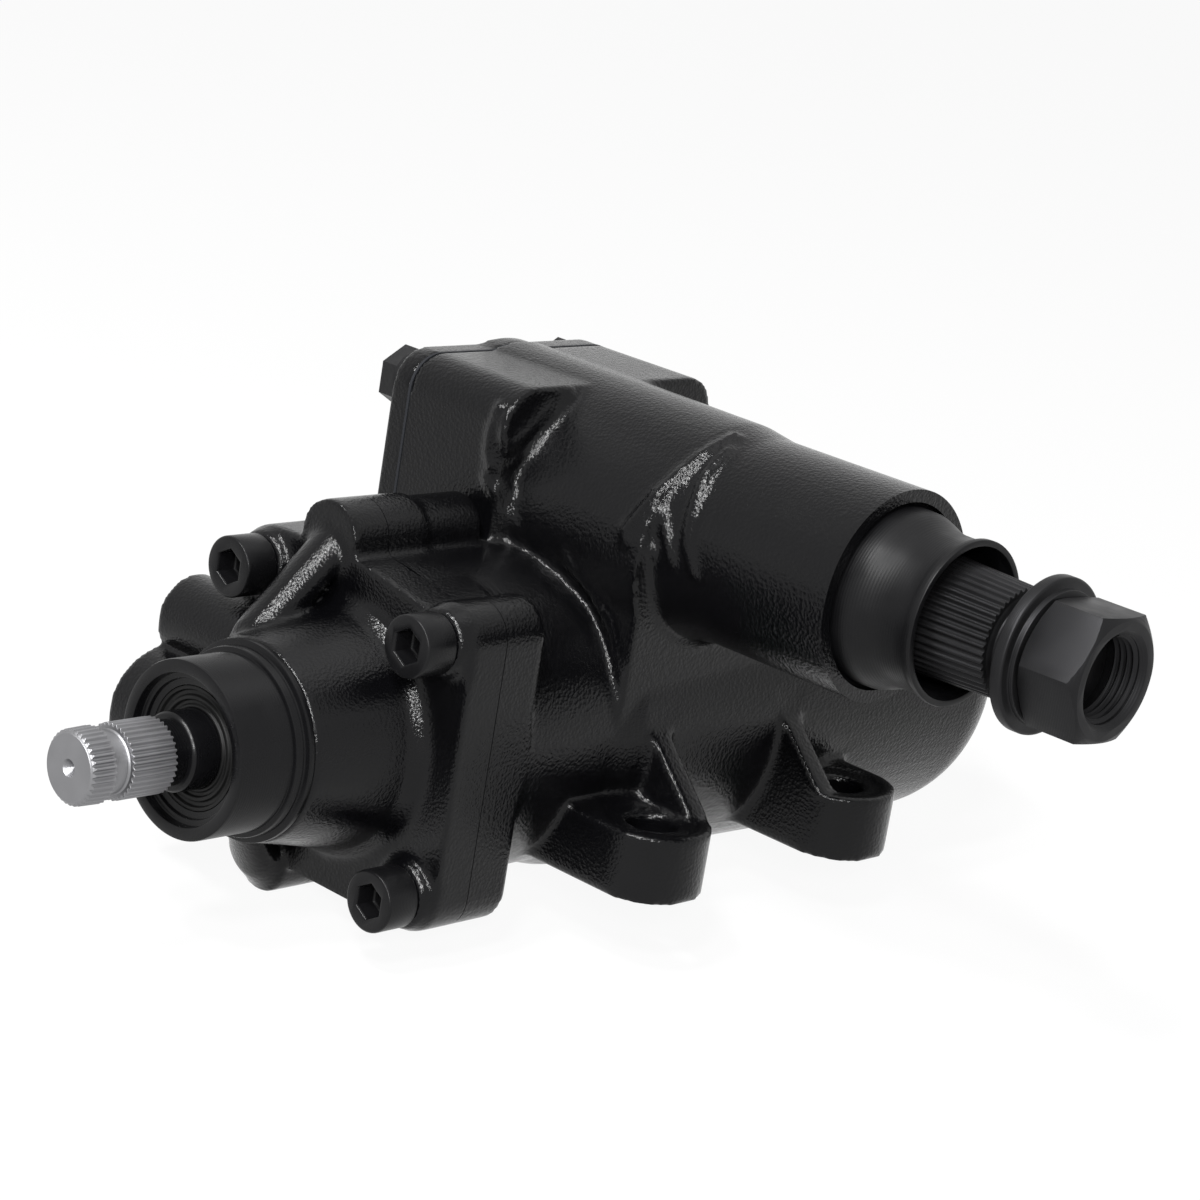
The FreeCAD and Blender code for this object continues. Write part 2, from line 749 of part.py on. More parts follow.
def cut_housing(body):
    """Bores the rack cylinder, the sector chamber and the barrel, and drills the holes."""
    turn_about_worm(body, "PartDesign::Groove", [
        (d.split, 0), (d.split, d.bore_r), (d.closed_end - d.end_wall, d.bore_r),
        (d.closed_end - d.end_wall, 0),
    ])
    turn_about_pitman(body, "PartDesign::Groove", [
        (d.chamber_end, ZERO), (d.chamber_end, d.shaft_clear_r), (d.inner_bearing_at, d.shaft_clear_r),
        (d.inner_bearing_at, d.bearing_r), (d.clip_at, d.bearing_r), (d.clip_at, d.clip_r),
        (d.clip_at + d.clip_thick, d.clip_r), (d.clip_at + d.clip_thick, d.bearing_r),
        (d.barrel_end - d.cup_seat_depth, d.bearing_r), (d.barrel_end - d.cup_seat_depth, d.cup_seat_r),
        (d.barrel_end, d.cup_seat_r), (d.barrel_end, ZERO),
    ])
    chamber_pockets(body, d.chamber_end, d.chamber_end - d.side_face)
    face = new_sketch(body, "YZ_Plane", d.side_face)
    draw_belt(face, [(y, z, d.side_lobe_r + d.side_relief) for y, z in side_bolts()])
    pocket(body, face, d.gasket_thick + d.side_plate)

    screw_holes = new_sketch(body, "XZ_Plane", -d.split)
    draw_circles(screw_holes, screw_circles(d.screw_r + d.thread_gap))
    pocket(body, screw_holes, d.housing_flange)
    bolt_holes = new_sketch(body, "YZ_Plane", d.side_face)
    draw_circles(bolt_holes, [(y, z, d.side_bolt_r + d.thread_gap) for y, z in side_bolts()])
    pocket(body, bolt_holes, d.side_bolt_bite + d.hole_gap, True)
    lug_top = d.lug_thick - d.worm_height
    holes = new_sketch(body, "XY_Plane", lug_top)
    lugs = [(d.lug_x * sx, d.pitman_shift + d.lug_y * sy) for sx, sy in LUG_SPOTS]
    draw_circles(holes, [(x, y, d.lug_hole_r) for x, y in lugs])
    pocket(body, holes, d.lug_thick)
    spots = new_sketch(body, "XY_Plane", lug_top)
    draw_circles(spots, [(x, y, d.spot_r) for x, y in lugs])
    pocket(body, spots, d.spot_depth)


def chamber_pockets(body, x, depth):
    """Opens the sector's room from a plane towards -X: wide below the shaft, narrow above."""
    low = new_sketch(body, "YZ_Plane", x)
    draw_half(low, ZERO, d.centre_distance, d.chamber_r, "below")
    pocket(body, low, depth)
    top = new_sketch(body, "YZ_Plane", x)
    draw_circles(top, [(ZERO, d.centre_distance, d.chamber_top_r)])
    pocket(body, top, depth)


def valve_cover():
    """The front casting: joint flange, valve chamber, machined nose and two ports."""
    body = new_body("valve_cover", on_cast)
    valve_flange(body, d.split, d.cover_flange)
    front = d.split - d.cover_flange
    turn_about_worm(body, "PartDesign::Revolution", [
        (front, 0), (front, d.valve_root_r), (front - d.valve_root, d.valve_wall_r),
        (d.valve_front, d.step_r),
        (d.step_end, d.step_r), (d.step_end, d.nose_ring_r), (d.nose_shoulder, d.nose_ring_r),
        (d.nose_shoulder, d.nose_r), (d.nose_face, d.nose_r), (d.nose_face, 0),
    ])
    rims = new_sketch(body, "XZ_Plane", -front)
    draw_circles(rims, screw_circles(d.spot_boss_r))
    pad(body, rims, d.spot_boss)
    rib_top = d.passage_z + d.rib_rise - d.rib_r
    taper(body, [(front, d.passage_x, rib_top, d.rib_r), (d.rib_front, d.passage_x, d.rib_end_z, d.rib_end_r)])
    taper(body, [
        (front, d.sump_x, d.sump_z, d.sump_bulge_r),
        (d.sump_middle, d.sump_x, d.sump_middle_z, d.sump_bulge_r),
        (d.sump_front, d.sump_front_x, d.sump_front_z, d.rib_end_r),
    ])
    for y, z, radius in port_spots():
        boss = new_sketch(body, "YZ_Plane", d.port_face)
        draw_circles(boss, [(y, z, radius)])
        pad(body, boss, -d.port_face)
    spigot = new_sketch(body, "XZ_Plane", -d.split)
    draw_circles(spigot, [(ZERO, ZERO, d.bore_r - d.spigot_gap)])
    pad(body, spigot, d.spigot_length, True)

    cut_valve_cover(body)
    return body


def port_spots():
    return [(d.pressure_y, d.pressure_z, d.pressure_boss_r), (d.return_y, d.return_z, d.return_boss_r)]


def cut_valve_cover(body):
    """Bores the valve chamber and its seats, the ports and the screw holes."""
    gap = d.running_gap
    bearing = d.worm_bearing_r + gap
    journal = d.input_journal_r + d.journal_clear
    seat = d.input_bearing_r
    seal = d.input_seal_r
    bearing_end = d.valve_bore_end - d.input_bearing_length
    seal_end = bearing_end - d.seat_wall - d.input_seal_length
    clip_end = seal_end - d.input_clip_thick
    recess = d.nose_face + d.nose_recess_depth
    back = d.split + d.spigot_length
    turn_about_worm(body, "PartDesign::Groove", [
        (back, 0), (back, bearing), (d.worm_bearing_at, bearing), (d.worm_bearing_at, d.valve_bore_r),
        (d.valve_bore_end, d.valve_bore_r), (d.valve_bore_end, seat), (bearing_end, seat),
        (bearing_end, journal), (bearing_end - d.seat_wall, journal), (bearing_end - d.seat_wall, seal),
        (seal_end, seal),
        (seal_end, d.input_clip_r), (clip_end, d.input_clip_r), (clip_end, seal),
        (recess + d.nose_step_depth, seal),
        (recess + d.nose_step_depth, d.nose_step_r), (recess, d.nose_step_r), (recess, d.nose_recess_r),
        (d.nose_face, d.nose_recess_r), (d.nose_face, 0),
    ])
    ring = new_sketch(body, "XZ_Plane", -(d.split + d.spigot_length / 2 - d.seal_section))
    draw_circles(ring, [(ZERO, ZERO, d.neck_r), (ZERO, ZERO, d.bore_r - d.seal_section * 2)])
    pocket(body, ring, d.seal_section * 2)
    holes = new_sketch(body, "XZ_Plane", -(d.split - d.cover_flange - d.spot_boss))
    draw_circles(holes, screw_circles(d.screw_r + d.hole_gap))
    pocket(body, holes, d.cover_flange + d.spot_boss)
    relief = new_sketch(body, "XZ_Plane", -(d.split - d.cover_flange - d.spot_boss))
    draw_circles(relief, screw_circles(d.spot_boss_r))
    pocket(body, relief, d.head_room, True)
    ports = new_sketch(body, "YZ_Plane", d.port_face)
    draw_circles(ports, [
        (d.pressure_y, d.pressure_z, d.pressure_bore_r), (d.return_y, d.return_z, d.return_bore_r),
    ])
    pocket(body, ports, d.port_thread, True)
    rooms = new_sketch(body, "YZ_Plane", d.port_face)
    draw_circles(rooms, [(y, z, d.seat_room_r) for y, z, radius in port_spots()])
    pocket(body, rooms, d.port_depth, True)
    drills = new_sketch(body, "YZ_Plane", d.port_face)
    draw_circles(drills, [(y, z, d.port_drill_r) for y, z, radius in port_spots()])
    pocket(body, drills, -d.port_face - d.drill_end_r, True)


def side_cover():
    """The plate over the sector chamber, with the boss that holds the shaft's inner bush."""
    body = new_body("side_cover", on_cast)
    outer = d.side_face - d.gasket_thick - d.side_plate
    side_outline(body, outer, d.side_plate)
    turn_about_pitman(body, "PartDesign::Revolution", [
        (outer - d.side_boss_height, ZERO), (outer - d.side_boss_height, d.side_boss_top_r),
        (outer, d.side_boss_foot_r), (outer + d.side_plate, d.side_boss_foot_r),
        (outer + d.side_plate, d.side_boss_r), (d.side_face + d.side_boss_reach, d.side_boss_r),
        (d.side_face + d.side_boss_reach, ZERO),
    ])
    turn_about_pitman(body, "PartDesign::Groove", [
        (outer + d.side_floor, ZERO), (outer + d.side_floor, d.bushing_r),
        (d.side_face + d.side_boss_reach, d.bushing_r),
        (d.side_face + d.side_boss_reach, ZERO),
    ])
    centre = new_sketch(body, "YZ_Plane", outer - d.side_boss_height)
    draw_circles(centre, [(ZERO, d.centre_distance, d.adjuster_r + d.thread_gap)])
    pocket(body, centre, d.side_boss_height + d.side_floor, True)
    holes = new_sketch(body, "YZ_Plane", outer)
    draw_circles(holes, [(y, z, d.side_bolt_r + d.hole_gap) for y, z in side_bolts()])
    pocket(body, holes, d.side_plate, True)
    return body


def side_gasket():
    """The thin gasket under the side cover, open over the sector chamber."""
    body = new_body("side_cover_gasket", on_cast)
    side_outline(body, d.side_face - d.gasket_thick, d.gasket_thick)
    holes = new_sketch(body, "YZ_Plane", d.side_face - d.gasket_thick)
    draw_circles(holes, [(y, z, d.side_bolt_r + d.hole_gap) for y, z in side_bolts()])
    pocket(body, holes, d.gasket_thick, True)
    chamber_pockets(body, d.side_face, d.gasket_thick)
    return body


def bolt(label, shank_r, head, bite, put_head):
    """A headed bolt along local Z: the head is above zero and the shank runs down."""
    body = doc.addObject("PartDesign::Body", label)
    body.Label = label
    sketch = new_sketch(body, "XY_Plane", ZERO)
    put_head(sketch)
    pad(body, sketch, head)
    shank = new_sketch(body, "XY_Plane", ZERO)
    draw_circles(shank, [(ZERO, ZERO, shank_r)])
    pad(body, shank, bite, True)
    return body


def valve_cover_screws():
    """Four socket head cap screws, heads on the cover's raised spot faces."""
    grip = d.cover_flange + d.spot_boss
    master = bolt("cap_screw", d.screw_r, d.screw_head, grip + d.screw_bite,
                  lambda sketch: draw_circles(sketch, [(ZERO, ZERO, d.screw_head_r)]))
    socket = new_sketch(master, "XY_Plane", d.screw_head)
    hexagon(socket, d.screw_key)
    pocket(master, socket, d.screw_head * d.socket_share)
    round_edges(master, "PartDesign::Chamfer", d.head_chamfer,
                lambda e: is_ring(e, d.screw_head_r, "z", d.screw_head))
    seat = d.split - grip - d.pitman_shift
    spots = [(d.screw_x * sx, seat, d.worm_height + d.screw_z * sz) for sx, sz in SCREW_SPOTS]
    return copies("valve_cover_screws", master, FreeCAD.Rotation(FreeCAD.Vector(1, 0, 0), 90), spots)


def side_cover_bolts():
    """Four flanged hexagon bolts through the side cover."""
    grip = d.side_plate + d.gasket_thick
    master = bolt("hex_bolt", d.side_bolt_r, d.hex_head, grip + d.side_bolt_bite,
                  lambda sketch: hexagon(sketch, d.hex_flats))
    collar = new_sketch(master, "XY_Plane", ZERO)
    draw_circles(collar, [(ZERO, ZERO, d.collar_r)])
    pad(master, collar, d.collar)
    seat = d.side_face - grip
    spots = [(seat, y - d.pitman_shift, z + d.worm_height) for y, z in side_bolts()]
    return copies("side_cover_bolts", master, FreeCAD.Rotation(FreeCAD.Vector(0, 1, 0), -90), spots)


def polar(radius, share):
    """A point on a circle, at a share of a whole turn."""
    angle = share.value * 2 * math.pi
    turn_text = f"({share.text} * 360deg)"
    return (Size(radius.value * math.cos(angle), f"({radius.text} * cos({turn_text}))"),
            Size(radius.value * math.sin(angle), f"({radius.text} * sin({turn_text}))"))


def ball(label, radius):
    sphere = doc.addObject("Part::Sphere", label)
    sphere.Radius = radius.value
    sphere.setExpression("Radius", radius.text)
    return sphere


def split_ring(label, put, inner, outer, low, high, gap):
    """A flat spring ring with a gap."""
    body = ring_body(label, put, inner, outer, low, high)
    slot = new_sketch(body, "XY_Plane", high)
    draw_loop(slot, [(ZERO, -gap / 2), (outer * 2, -gap / 2), (outer * 2, gap / 2), (ZERO, gap / 2)])
    pocket(body, slot, high - low)
    return body


def valve_cover_seal():
    """The rubber ring in the spigot's groove."""
    ring = doc.addObject("Part::Torus", "valve_cover_seal")
    ring.Label = "valve_cover_seal"
    middle = d.bore_r - d.seal_section
    ring.Radius1 = middle.value
    ring.setExpression("Radius1", middle.text)
    ring.Radius2 = d.seal_section.value
    ring.setExpression("Radius2", d.seal_section.text)
    along = d.split + d.spigot_length / 2
    place(ring, TO_WORM, ZERO, along - d.pitman_shift, d.worm_height)
    return ring


def port_seats():
    """The brass tube seats pressed into the bottoms of the two ports."""
    master = new_body("port_seat", lambda item: None)
    turn(master, [
        (d.seat_hole_r, -d.seat_length / 2), (d.port_drill_r, -d.seat_length / 2), (d.port_drill_r, ZERO),
        (d.seat_r, ZERO), (d.seat_r, d.seat_rim), (d.seat_tip_r, d.seat_length),
        (d.seat_hole_r, d.seat_length),
    ])
    floor = d.port_face + d.port_depth
    spots = [(floor, y - d.pitman_shift, z + d.worm_height) for y, z, radius in port_spots()]
    return copies("port_seats", master, FreeCAD.Rotation(FreeCAD.Vector(0, 1, 0), -90), spots)


def lash_adjuster_screw():
    """The screw that sets how deep the sector sits in the rack; its head rides in the shaft's slot."""
    body = new_body("lash_adjuster_screw", on_pitman)
    outer = d.side_face - d.gasket_thick - d.side_plate - d.side_boss_height
    head = d.stub_end + d.slot_lip + d.slot_play
    turn(body, [
        (ZERO, outer - d.adjuster_out), (d.adjuster_r - d.edge_break, outer - d.adjuster_out),
        (d.adjuster_r, outer - d.adjuster_out + d.edge_break), (d.adjuster_r, head),
        (d.adjuster_head_r, head),
        (d.adjuster_head_r, head + d.adjuster_head), (ZERO, head + d.adjuster_head),
    ])
    slot = new_sketch(body, "XY_Plane", outer - d.adjuster_out)
    hexagon(slot, d.adjuster_r)
    pocket(body, slot, d.adjuster_r, True)
    return body


def adjuster_lock_nut():
    body = new_body("adjuster_lock_nut", on_pitman)
    outer = d.side_face - d.gasket_thick - d.side_plate - d.side_boss_height
    sketch = new_sketch(body, "XY_Plane", outer)
    hexagon(sketch, d.locknut_flats)
    draw_circles(sketch, [(ZERO, ZERO, d.adjuster_r)])
    pad(body, sketch, d.locknut_thick, True)
    return body


def pitman_dust_cup():
    """The flared cup over the shaft where it leaves the barrel."""
    body = new_body("pitman_dust_cup", on_pitman)
    wall = d.cup_wall
    low = d.barrel_end - d.cup_seat_depth
    turn(body, [
        (d.bearing_r, low), (d.cup_seat_r, low), (d.cup_seat_r, d.barrel_end), (d.cup_neck_r, cup_waist),
        (d.cup_neck_r, cup_lip), (d.cup_flare_r, cup_end), (d.cup_flare_r - wall, cup_end),
        (d.cup_neck_r - wall, cup_lip), (d.cup_neck_r - wall, cup_waist), (d.bearing_r, low + wall),
    ])
    return body


FLANK_POINTS = 6
FLANK_EASE = 1.5                    # sets the points closer together near the tooth's root


def sector_outline():
    """The face of the toothed sector: root circle with three involute teeth."""
    size = d.module_size.value
    count = d.sector_count.value
    pressure = math.radians(d.pressure_angle.value)
    pitch_r = size * count / 2
    base_r = pitch_r * math.cos(pressure)
    tip_r = pitch_r + size * d.addendum_share.value
    root_r = pitch_r - size * d.addendum_share.value - d.root_gap.value
    involute = math.tan(pressure) - pressure
    half = (math.pi * size / 2 - d.backlash.value) / 2 / pitch_r + involute

    def point(radius, angle):
        return FreeCAD.Vector(radius * math.cos(angle), radius * math.sin(angle), 0)

    def flank(middle, side):
        spots = []
        for step in range(FLANK_POINTS):
            radius = base_r + (tip_r - base_r) * (step / (FLANK_POINTS - 1)) ** FLANK_EASE
            slope = math.acos(base_r / radius)
            spots.append(point(radius, middle + side * (half - (math.tan(slope) - slope))))
        return spots

    edges = []
    pitch = 2 * math.pi / count
    corner = point(root_r, -pitch - half)
    first = corner
    for middle in (-pitch, 0, pitch):
        rise = flank(middle, -1)
        fall = flank(middle, 1)[::-1]
        foot = point(root_r, middle - half)
        if edges:
            edges.append(Part.Arc(corner, point(root_r, middle - pitch / 2), foot).toShape())
        curve = Part.BSplineCurve()
        curve.interpolate(rise)
        edges.append(Part.makeLine(foot, rise[0]))
        edges.append(curve.toShape())
        edges.append(Part.Arc(rise[-1], point(tip_r, middle), fall[0]).toShape())
        curve = Part.BSplineCurve()
        curve.interpolate(fall)
        edges.append(curve.toShape())
        corner = point(root_r, middle + half)
        edges.append(Part.makeLine(fall[-1], corner))
    edges.append(Part.Arc(corner, point(root_r, math.pi), first).toShape())
    return Part.Face(Part.Wire(edges))


def sector_shaft():
    """The output shaft with its toothed sector, tapered serration and threaded end."""
    body = new_body("sector_spindle", on_pitman)
    turn(body, [
        (ZERO, d.stub_end), (d.stub_r - d.edge_break, d.stub_end),
        (d.stub_r, d.stub_end + d.edge_break), (d.stub_r, ZERO),
        (d.shaft_r, ZERO), (d.shaft_r, spline_start - d.edge_break), (d.spline_big_r, spline_start),
        (d.spline_small_r, spline_end - d.edge_break), (d.spline_small_r - d.edge_break, spline_end),
        (d.thread_r - d.edge_break, spline_end), (d.thread_r - d.edge_break, washer_at - d.edge_break),
        (d.thread_r, washer_at),
        (d.thread_r, thread_end - d.edge_break), (d.thread_r - d.edge_break, thread_end),
        (ZERO, thread_end),
    ])
    long_side = d.stub_r + d.edge_break
    for width, start, depth in (
        (d.adjuster_r + d.slot_side, d.stub_end, d.slot_lip),
        (d.adjuster_head_r + d.slot_side, d.stub_end + d.slot_lip, d.slot_depth),
    ):
        slot = new_sketch(body, "XY_Plane", start)
        draw_loop(slot, [(-width, -long_side), (width, -long_side), (width, long_side), (-width, long_side)])
        pocket(body, slot, depth, True)

    face = doc.addObject("Part::Feature", "sector_face")
    face.Shape = sector_outline()
    place(face, TO_PITMAN, -d.sector_width / 2, -d.pitman_shift, d.worm_height + d.centre_distance)
    teeth = doc.addObject("Part::Extrusion", "sector_teeth")
    teeth.Base = face
    teeth.DirMode = "Custom"
    teeth.Dir = FreeCAD.Vector(1, 0, 0)
    teeth.LengthFwd = d.sector_width.value
    teeth.setExpression("LengthFwd", d.sector_width.text)
    teeth.Solid = True
    shaft = doc.addObject("Part::MultiFuse", "sector_shaft")
    shaft.Label = "sector_shaft"
    shaft.Shapes = [body, teeth]
    return shaft


def pitman_nut():
    """The big hexagon nut on the shaft's end, chamfered on both faces."""
    body = new_body("pitman_nut", on_nut)
    low = washer_at + d.washer_thick
    sketch = new_sketch(body, "XY_Plane", low)
    hexagon(sketch, d.nut_flats)
    draw_circles(sketch, [(ZERO, ZERO, d.thread_r + d.nut_gap)])
    pad(body, sketch, d.nut_thick)
    top = low + d.nut_thick
    for level, step in ((low, d.nut_chamfer), (top, -d.nut_chamfer)):
        turn(body, [(d.nut_face_r, level), (d.nut_corner_r, level), (d.nut_corner_r, level + step)],
             "PartDesign::Groove")
    turn(body, [(d.thread_r, top), (d.thread_r + d.nut_mouth, top), (d.thread_r, top - d.nut_mouth)],
         "PartDesign::Groove")
    return body


def rack_piston():
    """The piston that is also the ball nut, with three tooth gaps cut across its flat top."""
    body = new_body("rack_piston", on_cast)
    radius = d.bore_r - d.piston_gap
    nut_end = d.piston_rear - d.plug_length
    turn_about_worm(body, "PartDesign::Revolution", [
        (d.piston_front, d.piston_bore_r), (d.piston_front, radius - d.edge_break),
        (d.piston_front + d.edge_break, radius),
        (d.ring_at, radius), (d.ring_at, radius - d.ring_depth),
        (d.ring_at + d.ring_width, radius - d.ring_depth),
        (d.ring_at + d.ring_width, radius), (d.piston_rear - d.edge_break, radius),
        (d.piston_rear, radius - d.edge_break),
        (d.piston_rear, d.plug_r), (nut_end, d.plug_r), (nut_end, d.piston_bore_r),
    ])
    addendum = d.module_size * d.addendum_share
    line = d.centre_distance - d.module_size * d.sector_count / 2
    flat = new_sketch(body, "YZ_Plane", -radius)
    tip = line + addendum
    above = d.neck_r
    draw_loop(flat, [(d.split, tip), (d.flat_end, tip), (d.flat_runout, above), (d.split, above)])
    pocket(body, flat, radius * 2, True)
    slope = Size(math.tan(math.radians(d.pressure_angle.value)), "tan(Sizes.pressure_angle * 1deg)")
    pitch = d.module_size * math.pi
    root = line - addendum - d.root_gap
    wide = pitch / 4 + (tip + d.edge_break - line) * slope
    narrow = pitch / 4 - (line - root) * slope
    for step in (-1, 0, 1):
        gap = new_sketch(body, "YZ_Plane", -radius)
        middle = pitch * step
        draw_loop(gap, [
            (middle - narrow, root), (middle + narrow, root), (middle + wide, tip + d.edge_break),
            (middle - wide, tip + d.edge_break),
        ])
        pocket(body, gap, radius * 2, True)
    seat = new_sketch(body, "YZ_Plane", radius)
    reach = d.lead * (d.ball_turns / 2) + d.guide_r * 2
    draw_loop(seat, [
        (-reach, -d.guide_seat), (reach, -d.guide_seat), (reach, d.guide_seat), (-reach, d.guide_seat),
    ])
    pocket(body, seat, radius - d.guide_floor)
    holes = new_sketch(body, "YZ_Plane", radius)
    draw_circles(holes, [(d.lead * (d.ball_turns / 2) * side, ZERO, d.guide_r) for side in (1, -1)])
    pocket(body, holes, radius - d.ball_circle_r)
    half_round = new_sketch(body, "XY_Plane")
    draw_half(half_round, d.ball_circle_r, d.lead * (d.ball_turns / -2), d.ball_r + d.ball_gap)
    groove(body, half_round, d.ball_turns)
    return body


def groove(body, sketch, turns):
    """Sweeps a drawn section along the worm's thread and cuts it away."""
    track = body.newObject("PartDesign::SubtractiveHelix", body.Name + "_track")
    track.Profile = sketch
    track.ReferenceAxis = (sketch, ["V_Axis"])
    track.Mode = 1
    track.Pitch = d.lead.value
    track.setExpression("Pitch", d.lead.text)
    track.Turns = turns.value
    track.setExpression("Turns", turns.text)
    track.LeftHanded = False
    track.Reversed = False
    return track


def piston_end_plug():
    inner_face = d.piston_rear - d.plug_length
    body = ring_body("piston_end_plug", on_worm, ZERO, d.plug_r, inner_face, d.piston_rear)
    socket = new_sketch(body, "XY_Plane", d.piston_rear)
    hexagon(socket, d.plug_key)
    pocket(body, socket, d.plug_length * d.socket_share)
    return body


def recirculating_balls():
    """The balls between worm and rack piston, in their helical row."""
    master = ball("steel_ball", d.ball_r)
    number = int(d.ball_count.value)
    spots = []
    for step in range(number):
        share = d.ball_turns * (step + 0.5) / d.ball_count - d.ball_turns / 2
        x, y = polar(d.ball_circle_r, share)
        spots.append((x, d.lead * share - d.pitman_shift, d.worm_height - y))
    return copies("recirculating_balls", master, UPRIGHT, spots)


def ball_return_guide():
    """The tube that leads the balls from one end of the track back to the other."""
    body = new_body("ball_return_guide", on_cast)
    reach = d.lead * (d.ball_turns / 2)
    legs = new_sketch(body, "YZ_Plane", d.ball_circle_r + d.ball_r)
    draw_circles(legs, [(reach * side, ZERO, d.guide_r - d.running_gap) for side in (1, -1)])
    pad(body, legs, d.guide_floor + d.guide_r - d.ball_circle_r - d.ball_r)
    bridge = new_sketch(body, "XZ_Plane", -(reach * -1))
    draw_circles(bridge, [(d.guide_floor + d.guide_r, ZERO, d.guide_r - d.running_gap)])
    pad(body, bridge, reach * 2, True)
    return body


def guide_clamp():
    """The strap that holds the return tube down on its seat."""
    body = new_body("guide_clamp", on_cast)
    strap = new_sketch(body, "YZ_Plane", d.guide_floor)
    half = d.strap_width / 2
    wide = d.guide_seat - d.slot_side
    top = d.guide_floor + d.guide_r * 2
    draw_loop(strap, [(-half, -wide), (half, -wide), (half, wide), (-half, wide)])
    pad(body, strap, top + d.strap_thick - d.guide_floor)
    for side in (1, -1):
        cut = new_sketch(body, "XZ_Plane", half)
        draw_loop(cut, [
            (d.guide_floor + d.strap_thick, (d.guide_r + d.strap_thick) * side),
            (d.bore_r, (d.guide_r + d.strap_thick) * side), (d.bore_r, d.bore_r * side),
            (d.guide_floor + d.strap_thick, d.bore_r * side),
        ])
        pocket(body, cut, d.strap_width)
    tube = new_sketch(body, "XZ_Plane", half)
    draw_circles(tube, [(d.guide_floor + d.guide_r, ZERO, d.guide_r - d.running_gap)])
    pocket(body, tube, d.strap_width)
    return body


def worm_shaft():
    """The worm, with its journal, its flange and the helical ball track."""
    body = new_body("worm_shaft", on_worm)
    flange_front = d.worm_bearing_at - d.worm_flange
    shoulder = d.worm_bearing_at + d.worm_bearing_length
    turn(body, [
        (ZERO, d.torsion_end), (d.torsion_r, d.torsion_end), (d.torsion_r, d.stub_start),
        (d.spool_r, d.stub_start), (d.spool_r, flange_front), (d.worm_flange_r, flange_front),
        (d.worm_flange_r, d.worm_bearing_at), (d.worm_journal_r, d.worm_bearing_at),
        (d.worm_journal_r, shoulder), (d.worm_neck_r, shoulder + d.neck_taper),
        (d.worm_neck_r, d.worm_thread_start - d.edge_break),
        (d.worm_r, d.worm_thread_start), (d.worm_r, d.worm_end - d.edge_break),
        (d.worm_r - d.edge_break, d.worm_end),
        (ZERO, d.worm_end),
    ])
    section = new_sketch(body, "XZ_Plane")
    start = d.lead * (d.worm_groove_turns - 1) / -2
    draw_circles(section, [(d.ball_circle_r, start, d.ball_r + d.ball_gap)])
    groove(body, section, d.worm_groove_turns)
    return body


def bearing_race(label, inner, outer):
    """One race of the worm bearing, with the groove its balls run in."""
    low = d.worm_bearing_at
    body = ring_body(label, on_worm, inner, outer, low, low + d.worm_bearing_length)
    cut = new_sketch(body, "XZ_Plane")
    draw_circles(cut, [(d.race_circle_r, low + d.worm_bearing_length / 2, d.race_ball_r + d.running_gap)])
    spin(body, "PartDesign::Groove", cut, "V_Axis")
    return body


def worm_bearing_balls():
    master = ball("race_ball", d.race_ball_r)
    level = d.worm_bearing_at + d.worm_bearing_length / 2 - d.pitman_shift
    spots = []
    for step in range(int(d.race_ball_count.value)):
        x, y = polar(d.race_circle_r, as_size(step) / d.race_ball_count)
        spots.append((x, level, d.worm_height - y))
    return copies("worm_bearing_balls", master, UPRIGHT, spots)


def valve_body():
    """The rotary valve's sleeve, with annular oil grooves between its ring grooves."""
    body = new_body("valve_body", on_worm)
    outer = d.valve_bore_r - d.running_gap
    end = d.valve_body_at + d.valve_body_length
    points = [(d.spool_r, d.valve_body_at), (outer, d.valve_body_at)]
    for level, width, depth in valve_grooves():
        floor = outer - depth
        points += [(outer, level), (floor, level), (floor, level + width), (outer, level + width)]
    turn(body, points + [(outer, end), (d.spool_r, end)])
    return body


def valve_grooves():
    """Start, width and depth of the sleeve's grooves, in turn for a ring and for oil."""
    rings = []
    for step in range(4):
        at = d.valve_body_at + d.valve_ring_width + d.valve_ring_pitch * step
        rings.append((at, d.valve_ring_width, d.valve_ring_depth))
        if step < 3:
            rings.append((at + d.valve_ring_width * 2, d.valve_oil_width, d.valve_ring_depth))
    return rings


def valve_rings():
    """The four sealing rings on the sleeve."""
    outer = d.valve_bore_r - d.running_gap / 2
    master = ring_body("valve_ring", lambda item: None, d.valve_bore_r - d.running_gap - d.valve_ring_depth,
                       outer, ZERO, d.valve_ring_width)
    spots = [(ZERO, at - d.pitman_shift, d.worm_height) for at, width, depth in valve_grooves()[::2]]
    return copies("valve_rings", master, TO_WORM, spots)


